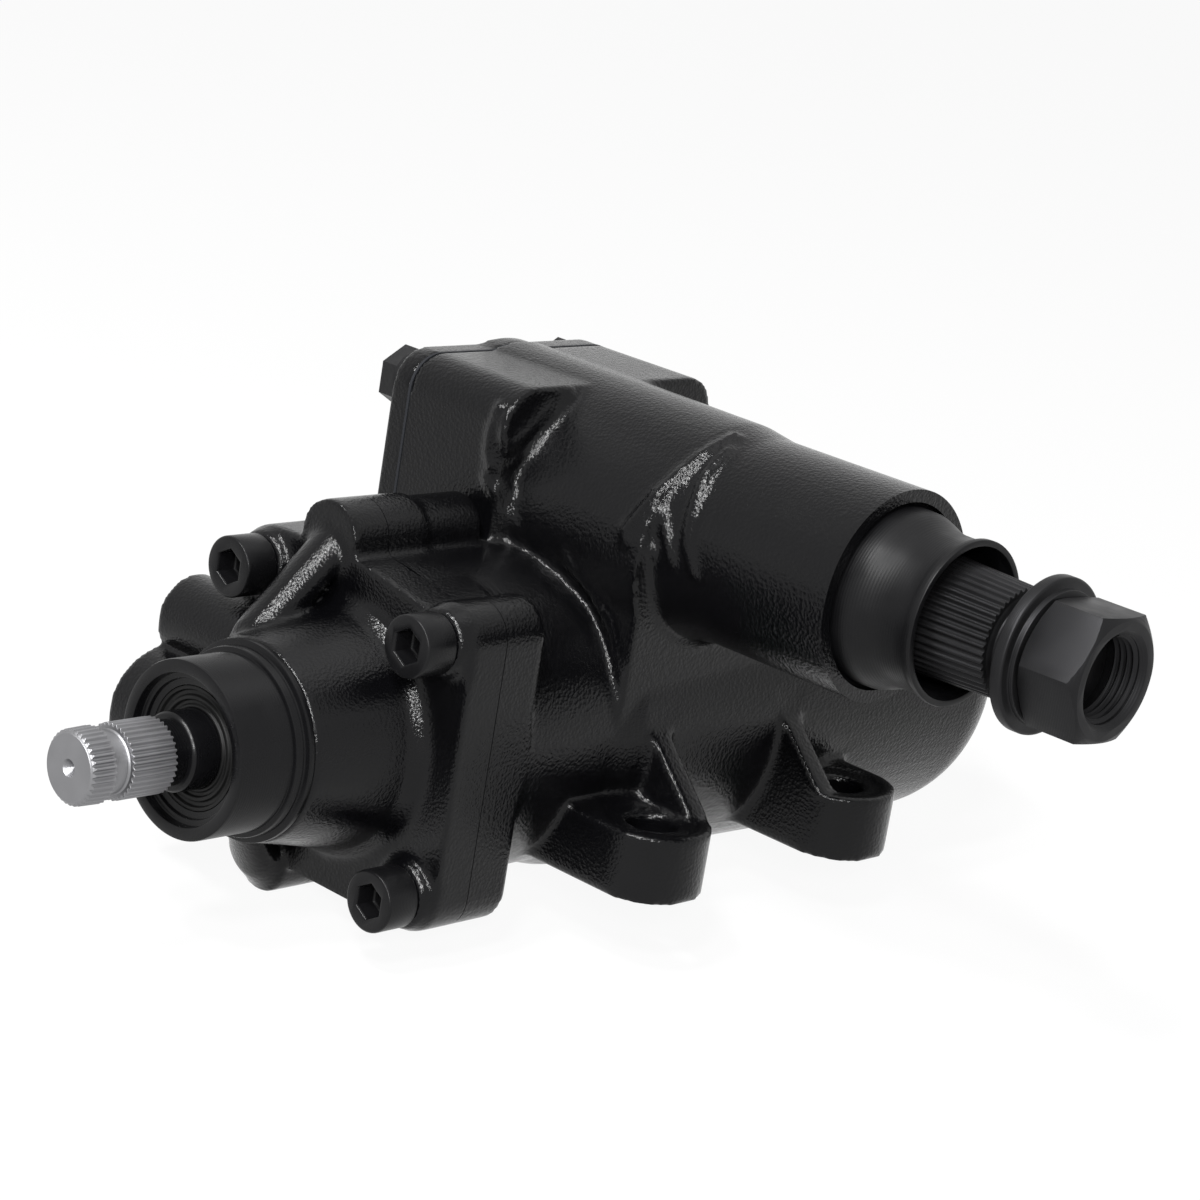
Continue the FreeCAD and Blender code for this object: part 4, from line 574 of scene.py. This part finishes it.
def housing_outside(spot):
    """False deep in the two bores, where triangles may be large."""
    to_worm = math.hypot(spot.x, spot.z - WORM_Z)
    to_pitman = math.hypot(spot.y - PITMAN_Y, spot.z - PITMAN_Z)
    inside_rack = to_worm < HIDDEN_RACK_R and spot.y < HIDDEN_RACK_END_Y
    inside_barrel = to_pitman < HIDDEN_BARREL_R and spot.x < HIDDEN_BARREL_END_X
    return not (inside_rack or inside_barrel)


print("rack bore:", 2 * RACK_BORE_R, "mm across, barrel bore:", 2 * BARREL_BORE_R)

# %% [markdown]
# Now the casting is poured, so to speak. Both flat ends are pulled out before and
# milled off after. The face under the side cover is pushed out by half the
# gasket's thickness, so that the joint shows as a narrow line.

# %% Main casting
JOINT_HALF_GAP = 0.12
SIDE_BLOCK_Z = 45
SIDE_STEP = 0.4
MOST_TRIANGLES = 185000
lengthen(main_casting, 1, FRONT_JOINT_Y, -1)
lengthen(main_casting, 0, BARREL_END_X, 1)
for vertex in main_casting.data.vertices:
    if abs(vertex.co.x - SIDE_JOINT_X * MM) < AT_FACE and vertex.co.z > SIDE_BLOCK_Z * MM:
        vertex.co.x -= SIDE_STEP * MM
cast(main_casting, square=1.1 * MM, rings=2, rounds=8, keep=housing_machined,
     joint=lambda spot: spot.x < SIDE_JOINT_X + 1 and spot.z > SIDE_BLOCK_Z)
trim(main_casting, 1, FRONT_JOINT_Y + JOINT_HALF_GAP, -1)
trim(main_casting, 0, BARREL_END_X, 1)
thin_out(main_casting, MOST_TRIANGLES, housing_outside)
smooth_over(main_casting, 50)

# %% [markdown]
# The valve cover is a second casting, bolted to the first with a joint that
# shows only as a fine line. Its nose is turned on a lathe afterwards, so the
# casting stops where the nose starts, and the nose is a turned piece of its own.

# %% Valve cover casting
SCREW_X = 33.5
SCREW_Z = 33.2
SCREW_SEAT_R = 6.5
COVER_BORE_R = 27
NOSE_START_Y = -127
NOSE_CUT_Y = -128.5
CUTTER_SIDE = 100
PORT_FACE_X = -45


def cover_machined(spots):
    across = np.abs(spots[:, 0]) - SCREW_X
    screw = np.hypot(across, np.abs(spots[:, 2] - WORM_Z) - SCREW_Z) < SCREW_SEAT_R
    bore = from_worm(spots) < COVER_BORE_R
    return screw | (bore & (spots[:, 1] > NOSE_START_Y)) | (spots[:, 0] < PORT_FACE_X)


def cover_outside(spot):
    return math.hypot(spot.x, spot.z - WORM_Z) > COVER_BORE_R


cover_casting = copy_of("valve_cover", "valve_cover_casting")
bpy.ops.object.select_all(action="DESELECT")
bpy.ops.mesh.primitive_cube_add(size=CUTTER_SIDE * MM,
                                location=(0, (NOSE_CUT_Y - CUTTER_SIDE / 2) * MM, WORM.z))
combine(cover_casting, settle(bpy.context.object), "DIFFERENCE")
lengthen(cover_casting, 1, FRONT_JOINT_Y, 1)
cast(cover_casting, square=0.9 * MM, rings=4, rounds=18, keep=cover_machined)
trim(cover_casting, 1, FRONT_JOINT_Y - JOINT_HALF_GAP, 1)
thin_out(cover_casting, MOST_TRIANGLES, cover_outside)
smooth_over(cover_casting, 50)

# %% [markdown]
# The side cover closes the sector chamber. It is a thick cast plate with four
# corner lobes, made as the other castings are. Only its inner face is machined,
# and that stays flat against the gasket.

# %% Side cover casting
side_casting = copy_of("side_cover", "side_cover_casting")
cast(side_casting, square=0.95 * MM, rings=2, rounds=12, keep=lambda spots: spots[:, 0] > SIDE_JOINT_X - 1,
     joint=lambda spot: spot.x > SIDE_JOINT_X - 2)
thin_out(side_casting, 120000, lambda spot: spot.x < SIDE_JOINT_X)
smooth_over(side_casting, 50)

# %% [markdown]
# Turned pieces are the easiest to draw: half of the section as a line of points,
# spun round the shaft's axis, with the two ends of the line merged. The Bevel
# modifier then breaks each edge as the lathe hand does with a file.

# %% The lathe
TURNS = 96


def shaft_line(about):
    """The direction of one of the two shafts, and a point on it."""
    if about is WORM:
        return Vector((0, 1, 0)), Vector((0, 0, about.z))
    return Vector((1, 0, 0)), about


def break_edges(piece, width, segments, degrees):
    finish_with(piece, "BEVEL", width=width * MM, segments=segments, limit_method="ANGLE",
                angle_limit=math.radians(degrees))


def lathe(name, points, about, easing=0.25):
    """Spins a section, given as distance along the axis and radius in mm."""
    along, origin = shaft_line(about)
    mesh = bpy.data.meshes.new(name)
    shut = points[0][1] > 0 or points[-1][1] > 0
    rim = [origin + along * (at * MM) + Vector((0, 0, radius * MM)) for at, radius in points]
    mesh.from_pydata(rim, [(i, (i + 1) % len(rim)) for i in range(len(rim) if shut else len(rim) - 1)], [])
    piece = bpy.data.objects.new(name, mesh)
    bpy.context.scene.collection.objects.link(piece)
    only(piece)
    bpy.ops.object.mode_set(mode="EDIT")
    bpy.ops.mesh.select_all(action="SELECT")
    bpy.ops.mesh.spin(steps=TURNS, angle=math.tau, center=origin, axis=along)
    bpy.ops.mesh.select_all(action="SELECT")
    bpy.ops.mesh.remove_doubles(threshold=0.002 * MM)
    bpy.ops.mesh.normals_make_consistent(inside=False)
    bpy.ops.object.mode_set(mode="OBJECT")
    if easing:
        break_edges(piece, easing, 2, 28)
    smooth_over(piece, 35)
    print(name, "faces:", len(piece.data.polygons))
    return piece


# %% [markdown]
# The nose has three steps outside, three in its recess, and the seats for the
# bearing and the seal. In the recess sits a rubber dust seal with three ribs, and
# the cover's other end carries the spigot that centres it in the housing.

# %% Turned nose, dust seal and spigot
turned_nose = lathe("turned_nose", [
    (-127.6, 25.3), (-130.0, 25.6), (-130.0, 23.84), (-132.9, 23.84), (-132.9, 22.44), (-149.2, 22.44),
    (-149.2, 19.0), (-146.6, 19.0), (-146.6, 17.4), (-145.4, 17.4), (-145.4, 15.55), (-135.1, 15.55),
    (-135.1, 14.05), (-127.6, 14.05),
], WORM, 0.45)
seal_ring = lathe("ribbed_dust_seal", [
    (-143.6, 10.05), (-143.6, 15.5), (-145.35, 15.5), (-145.35, 14.6), (-144.4, 14.3), (-144.4, 13.3),
    (-145.2, 13.0), (-145.2, 12.1), (-144.3, 11.8), (-144.3, 11.0), (-145.0, 10.7), (-145.0, 10.05),
], WORM, 0.15)
spigot = lathe("valve_cover_spigot", [
    (-87.4, 26.1), (-87.4, 36.45), (-85.5, 36.45), (-85.5, 33.7), (-82.7, 33.7), (-82.7, 36.45),
    (-81.6, 36.45), (-81.6, 26.1),
], WORM, 0.2)

# %% [markdown]
# The dust cup is pressed from sheet over a form: a straight wall on the barrel, a
# soft waist and a lip that flares out. The inside is the outside again, one
# sheet's thickness nearer to the shaft. The washer beside it is turned.

# %% Dust cup and washer
SHEET = 1.7
cup_outside = [
    (95.8, 24.6), (97.0, 24.6), (97.6, 23.3), (100.6, 23.3), (103.4, 23.2), (105.6, 22.5), (107.8, 21.6),
    (110.0, 20.8), (112.6, 20.45),
    (116.0, 20.4), (118.4, 20.55), (119.6, 21.0), (120.8, 21.45), (122.4, 21.5),
]
cup_inside = [(at, radius - SHEET) for at, radius in reversed(cup_outside[2:])] + [(95.8, 22.0)]
dust_cup = lathe("pressed_dust_cup", cup_outside + cup_inside, PITMAN, 0.35)
washer = lathe("shaft_washer", [
    (145.0, 11.25), (145.0, 19.2), (145.5, 20.0), (148.3, 20.0), (148.7, 19.4), (148.7, 17.2), (150.2, 17.2),
    (150.2, 11.25),
], PITMAN, 0.3)

# %% [markdown]
# A serration is a ring of small straight teeth. The blank is a cylinder with four
# edges for each tooth; every second pair is scaled inwards to cut the gaps, which
# is quicker and cleaner than one boolean for each gap.

# %% Cutting a serration
def serrated(name, about, start, end, start_r, end_r, teeth, depth):
    """A toothed bar between two stations of a shaft, tapered if the radii differ."""
    along, origin = shaft_line(about)
    bpy.ops.object.select_all(action="DESELECT")
    bpy.ops.mesh.primitive_cone_add(vertices=teeth * 4, radius1=start_r * MM, radius2=end_r * MM,
                                    depth=abs(end - start) * MM, end_fill_type="NGON")
    piece = bpy.context.object
    piece.name = name
    bpy.ops.object.mode_set(mode="EDIT")
    bpy.ops.mesh.select_all(action="DESELECT")
    edit = bmesh.from_edit_mesh(piece.data)
    for vertex in edit.verts:
        turn = math.atan2(vertex.co.y, vertex.co.x) / math.tau * teeth * 4
        vertex.select_set(round(turn) % 4 in (0, 1))
    bmesh.update_edit_mesh(piece.data)
    share = 1 - depth / ((start_r + end_r) / 2)
    bpy.ops.transform.resize(value=(share, share, 1))
    bpy.ops.mesh.select_all(action="SELECT")
    bpy.ops.mesh.normals_make_consistent(inside=False)
    bpy.ops.object.mode_set(mode="OBJECT")
    piece.rotation_euler = (along * (1 if end > start else -1)).to_track_quat("Z", "Y").to_euler()
    piece.location = origin + along * ((start + end) / 2 * MM)
    settle(piece)
    break_edges(piece, 0.12, 1, 35)
    smooth_over(piece, 30)
    print(name, "teeth:", teeth)
    return piece


# %% [markdown]
# The input shaft ends in a fine straight serration for the steering coupling. A
# groove across it takes the coupling's pinch bolt, so the teeth are two short
# lengths with a turned neck between them. The tip is turned to a cone and has a
# centre drilled in it, from the lathe that made the shaft.

# %% Input end
INPUT_TEETH = 36
INPUT_R = 9.5
INPUT_DEPTH = 0.7
input_body = copy_of("input_shaft", "input_shaft_body")
trim(input_body, 1, -140.0, -1)
smooth_over(input_body, 35)
input_collar = lathe("input_shaft_collar", [
    (-153.4, 0), (-153.4, 9.3), (-152.7, 10.0), (-139.6, 10.0), (-139.6, 0),
], WORM)
input_neck = lathe("input_shaft_neck", [
    (-158.4, 0), (-158.4, 8.7), (-157.3, 8.2), (-153.1, 8.2), (-153.1, 0),
], WORM)
input_teeth = serrated("input_serration", WORM, -157.8, -171.0, INPUT_R, INPUT_R, INPUT_TEETH, INPUT_DEPTH)
clamp_groove = lathe("input_clamp_groove", [
    (-170.8, 0), (-170.8, 8.3), (-171.3, 7.6), (-175.7, 7.6), (-176.2, 8.3), (-176.2, 0),
], WORM)
input_tip = serrated("input_serration_tip", WORM, -176.0, -183.2, INPUT_R, 9.3, INPUT_TEETH, INPUT_DEPTH)
tip_chamfer = lathe("tip_chamfer", [
    (-175.8, 0), (-175.8, 9.7), (-181.9, 9.7), (-183.2, 8.3), (-183.2, 0),
], WORM, 0)
combine(input_tip, tip_chamfer, "INTERSECT")
combine(input_tip, horn((0, -183.6, WORM_Z), (0, -180.4, WORM_Z), 2.5, 0.3), "DIFFERENCE")
smooth_over(input_tip, 30)

# %% [markdown]
# The output shaft is far stronger. Its serration is tapered, so that the nut
# draws the steering arm tight. Past it the shaft steps down to a thread, of which
# two grooves show between washer and nut.

# %% Output end
THREAD_PITCH = 1.4
output_body = copy_of("sector_shaft", "sector_shaft_body")
trim(output_body, 0, 104.2, 1)
smooth_over(output_body, 35)
output_teeth = serrated("output_serration", PITMAN, 104.0, 138.6, 15.9, 14.5, 44, 0.9)
grooves = []
for turn in range(2):
    at = 141.8 + turn * THREAD_PITCH
    grooves += [(at, 11.1), (at + 0.6, 10.3), (at + 1.2, 11.1)]
step_down = [(138.4, 0), (138.4, 13.2), (139.2, 11.0), (141.0, 11.0)]
shaft_tip = [(156.4, 11.1), (157.0, 10.5), (157.0, 3.0), (154.6, 0)]
output_end = lathe("output_thread_end", step_down + grooves + shaft_tip, PITMAN, 0.15)

# %% [markdown]
# The nut starts as a six-sided bar. Both ends are turned to a cone, which leaves
# the curved corners that every nut has, and the hole is drilled with a
# countersink at its outer end.

# %% Shaft nut
HALF_ACROSS_FLATS = 15.6
NUT_LENGTH = 17.4
NUT_MIDDLE_X = 158.9
NUT_TURN = 27
bpy.ops.object.select_all(action="DESELECT")
bpy.ops.mesh.primitive_cylinder_add(vertices=6, radius=HALF_ACROSS_FLATS / math.cos(math.pi / 6) * MM,
                                    depth=NUT_LENGTH * MM)
nut = bpy.context.object
nut.name = "shaft_nut"
nut.matrix_world = (Matrix.Translation(PITMAN + Vector((NUT_MIDDLE_X * MM, 0, 0)))
                    @ Matrix(((0, 0, 1, 0), (0, 1, 0, 0), (-1, 0, 0, 0), (0, 0, 0, 1)))
                    @ Matrix.Rotation(math.radians(NUT_TURN - 90), 4, "Z"))
settle(nut)
combine(nut, lathe("nut_ends", [
    (150.2, 0), (150.2, 15.0), (153.1, 20.0), (164.7, 20.0), (167.6, 15.0), (167.6, 0),
], PITMAN, 0), "INTERSECT")
combine(nut, lathe("nut_hole", [
    (149, 0), (149, 11.3), (166.2, 11.3), (168, 13.1), (168, 0),
], PITMAN, 0), "DIFFERENCE")
break_edges(nut, 0.3, 2, 30)
smooth_over(nut, 32)

# %% [markdown]
# The thread inside the nut is a small triangle carried round by the Screw
# modifier, four turns of it, with the two open ends closed. It is a piece of its
# own, because a boolean with a helix is slow and breaks easily.

# %% Nut thread
NUT_PITCH = 1.81
THREAD_TURNS = 4
mesh = bpy.data.meshes.new("nut_thread")
mesh.from_pydata([(157.3 * MM, 0, 11.5 * MM), (158.2 * MM, 0, 10.4 * MM), (159.1 * MM, 0, 11.5 * MM)],
                 [(0, 1), (1, 2), (2, 0)], [])
thread = bpy.data.objects.new("nut_thread", mesh)
bpy.context.scene.collection.objects.link(thread)
finish_with(thread, "SCREW", axis="X", screw_offset=NUT_PITCH * MM, iterations=THREAD_TURNS, steps=64,
            render_steps=64)
thread.location = PITMAN
settle(thread)
edit = bmesh.new()
edit.from_mesh(thread.data)
bmesh.ops.holes_fill(edit, edges=edit.edges, sides=4)
bmesh.ops.recalc_face_normals(edit, faces=edit.faces)
edit.to_mesh(thread.data)
smooth_over(thread, 40)
print("thread length:", round(THREAD_TURNS * NUT_PITCH, 1), "mm")

# %% [markdown]
# Four socket head cap screws hold the valve cover. A head is a cylinder with an
# eased rim and a six-sided socket. The rim is eased before the shank is joined
# on, so that the seam under the head stays sharp.

# %% Cap screws
HEAD_R = 8
SOCKET_R = 4.62
SHANK_R = 5


def bar(spot, sides, radius, length):
    """A bar along Y with its middle at a spot."""
    bpy.ops.object.select_all(action="DESELECT")
    bpy.ops.mesh.primitive_cylinder_add(vertices=sides, radius=radius * MM, depth=length * MM,
                                        rotation=(math.radians(90), 0, 0), location=[at * MM for at in spot])
    return settle(bpy.context.object)


def cap_screw(x, z):
    """A socket head cap screw, its head on the cover's raised spot."""
    screw = bar((x, -106.6, z), 64, HEAD_R, 10)
    combine(screw, bar((x, -111.6, z), 6, SOCKET_R, 12), "DIFFERENCE")
    break_edges(screw, 0.75, 3, 70)
    combine(screw, bar((x, -87.9, z), 32, SHANK_R, 27.8), "UNION")
    smooth_over(screw, 32)
    return screw


screws = []
for side in (1, -1):
    for level in (1, -1):
        screws.append(cap_screw(SCREW_X * side, WORM_Z + SCREW_Z * level))
        screws[-1].name = f"cap_screw_{len(screws)}"
print("cap screws:", len(screws))

# %% [markdown]
# The side cover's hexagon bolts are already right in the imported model. A copy
# with eased edges lets each corner catch a little light.

# %% Side cover bolts
side_bolts = copy_of("side_cover_bolts", "side_cover_hex_bolts")
break_edges(side_bolts, 0.4, 2, 40)
smooth_over(side_bolts, 35)
print("side cover bolts:", triangles_of(side_bolts), "triangles")

# %% [markdown]
# Each new piece gets its finish, hides the imported solid it stands for, and
# rides on the same body, so that it turns and slides with it.

# %% Finishes and bodies
PIECES = [
    (main_casting, rough_enamel, ["gear_housing"], "housing", "cast_iron"),
    (cover_casting, fine_enamel, ["valve_cover"], "housing", "cast_iron"),
    (turned_nose, nose_enamel, ["valve_cover"], "housing", "cast_iron"),
    (seal_ring, black_rubber, ["input_dust_seal"], "housing", "rubber"),
    (spigot, ground_steel, ["valve_cover"], "housing", "cast_iron"),
    (side_casting, rough_enamel, ["side_cover"], "housing", "cast_aluminium"),
    (dust_cup, smooth_enamel, ["pitman_dust_cup"], "housing", "cup_steel"),
    (side_bolts, dark_steel, ["side_cover_bolts"], "housing", "plated_steel"),
    (washer, dark_steel, ["pitman_washer"], "sector", "plated_steel"),
    (nut, dark_steel, ["pitman_nut"], "sector", "plated_steel"),
    (thread, dark_steel, ["pitman_nut"], "sector", "plated_steel"),
    (output_body, dark_steel, ["sector_shaft"], "sector", "machined_steel"),
    (output_teeth, dark_steel, ["sector_shaft"], "sector", "machined_steel"),
    (output_end, dark_steel, ["sector_shaft"], "sector", "machined_steel"),
    (input_body, nose_enamel, ["input_shaft"], "input", "machined_steel"),
    (input_collar, nose_enamel, ["input_shaft"], "input", "machined_steel"),
    (input_neck, nose_enamel, ["input_shaft"], "input", "machined_steel"),
    (input_teeth, bare_steel, ["input_shaft"], "input", "machined_steel"),
    (clamp_groove, bare_steel, ["input_shaft"], "input", "machined_steel"),
    (input_tip, bare_steel, ["input_shaft"], "input", "machined_steel"),
] + [(screw, screw_enamel, ["valve_cover_screws"], "housing", "black_steel") for screw in screws]
for piece, material, stands_for, body, slot in PIECES:
    piece.data.materials.clear()
    piece.data.materials.append(material)
    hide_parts(*stands_for)
    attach(piece, body)
print("pieces:", len(PIECES))

# %% [markdown]
# The camera itself takes the place, turn and focal length that the seams were
# read with. The focal length in pixels becomes one in millimetres of the sensor.

# %% Camera
SENSOR = 36
camera = bpy.data.objects.new("camera", bpy.data.cameras.new("camera"))
bpy.context.scene.collection.objects.link(camera)
camera.data.sensor_width = SENSOR
camera.data.lens = FOCAL_PIXELS / PHOTO_SIDE * SENSOR
camera.data.clip_end = 20
camera.matrix_world = Matrix((
    (RIGHT.x, UP.x, BACK.x, EYE.x), (RIGHT.y, UP.y, BACK.y, EYE.y), (RIGHT.z, UP.z, BACK.z, EYE.z),
    (0, 0, 0, 1),
))
bpy.context.scene.camera = camera
print("lens:", round(camera.data.lens, 1), "mm")

# %% [markdown]
# Black gloss shows only what it reflects. One soft lamp hangs above. Four small
# ones stand in an arc over the camera's side, where only the fillets and seams
# reflect them, so that the walls between stay dark.

# %% Lamps
AIM = Vector((0, 0, 0.05))
FILLET_LAMPS = [(-0.12, -0.80, 1.32), (0.25, -0.90, 1.25), (0.62, -1.00, 0.98), (0.95, -1.00, 0.62)]
FILLET_LAMP_SIDE = 0.17
FILLET_LAMP_WATTS = 13


def soft_lamp(name, spot, side, watts):
    lamp = bpy.data.lights.new(name, "AREA")
    lamp.shape = "RECTANGLE"
    lamp.size = side
    lamp.size_y = side
    lamp.energy = watts
    holder = bpy.data.objects.new(name, lamp)
    bpy.context.scene.collection.objects.link(holder)
    holder.location = spot
    holder.rotation_euler = (AIM - Vector(spot)).to_track_quat("-Z", "Y").to_euler()


soft_lamp("top_lamp", (0.1, 0.1, 1.3), 0.8, 2)
for number, spot in enumerate(FILLET_LAMPS):
    soft_lamp(f"fillet_lamp_{number + 1}", spot, FILLET_LAMP_SIDE, FILLET_LAMP_WATTS)
print("lamps:", len(bpy.data.lights))

# %% [markdown]
# The room is a dim white that barely lights the object. The camera, reflections
# and views through glass see it at full white instead, as they would see a
# studio's paper backdrop, and no more light falls on the object for that.

# %% Room
ROOM_STRENGTH = 0.2
WHITE = linear("#FFFFFF")


def seen_ray(tree):
    """One for rays from the camera, from a gloss or through glass, and zero for all others."""
    rays = add(tree, "ShaderNodeLightPath")
    seen = add(tree, "ShaderNodeMath", {"operation": "ADD"},
               {0: rays.outputs["Is Camera Ray"], 1: rays.outputs["Is Glossy Ray"]})
    seen = add(tree, "ShaderNodeMath", {"operation": "ADD", "use_clamp": True},
               {0: seen.outputs[0], 1: rays.outputs["Is Transmission Ray"]})
    return seen.outputs[0]


world = bpy.data.worlds.new("studio")
bpy.context.scene.world = world
world.use_nodes = True
tree = world.node_tree
tree.nodes.clear()
room = add(tree, "ShaderNodeBackground", {"Color": WHITE, "Strength": ROOM_STRENGTH})
backdrop = add(tree, "ShaderNodeBackground", {"Color": WHITE, "Strength": 1.0})
both = add(tree, "ShaderNodeMixShader",
           links={0: seen_ray(tree), 1: room.outputs[0], 2: backdrop.outputs[0]})
add(tree, "ShaderNodeOutputWorld", links={"Surface": both.outputs[0]})
print("room strength:", ROOM_STRENGTH)

# %% [markdown]
# The floor is a sweep of pale matt paper. Seen by the camera it glows almost
# white, with a small share of the lit paper left in, which is what keeps the
# object's shadow.

# %% Floor
FLOOR_SIDE = 8
FLOOR_GAP = 0.5 * MM
GLOW_SHARE = 0.93
bpy.ops.object.select_all(action="DESELECT")
bpy.ops.mesh.primitive_plane_add(size=FLOOR_SIDE, location=(0, 0, CAD_BOX[0].z - FLOOR_GAP))
floor = bpy.context.object
floor.name = "floor"
# uncoated drawing paper, rolled: pale, matt and very slightly uneven
material, tree = start("pale_paper_sweep")
place = add(tree, "ShaderNodeTexCoord").outputs["Object"]
mottle = add(tree, "ShaderNodeTexNoise", {"Scale": 3.0}, {"Vector": place})
pale = add(tree, "ShaderNodeMix", {"data_type": "RGBA", "A": linear("#F4F4F4"), "B": linear("#FAFAFA")},
           {"Factor": mottle.outputs["Fac"]})
paper = add(tree, "ShaderNodeBsdfDiffuse", links={"Color": pale.outputs["Result"]})
glow = add(tree, "ShaderNodeEmission", {"Color": WHITE, "Strength": 1.0})
lit = add(tree, "ShaderNodeMixShader", {0: GLOW_SHARE}, {1: paper.outputs[0], 2: glow.outputs[0]})
both = add(tree, "ShaderNodeMixShader", links={0: seen_ray(tree), 1: paper.outputs[0], 2: lit.outputs[0]})
close(tree, both)
floor.data.materials.append(material)
print("floor at z:", round(floor.location.z / MM, 1), "mm")

# %% [markdown]
# The plain Standard view shows each colour about as it is written.

# %% Finish
bpy.context.scene.view_settings.view_transform = "Standard"
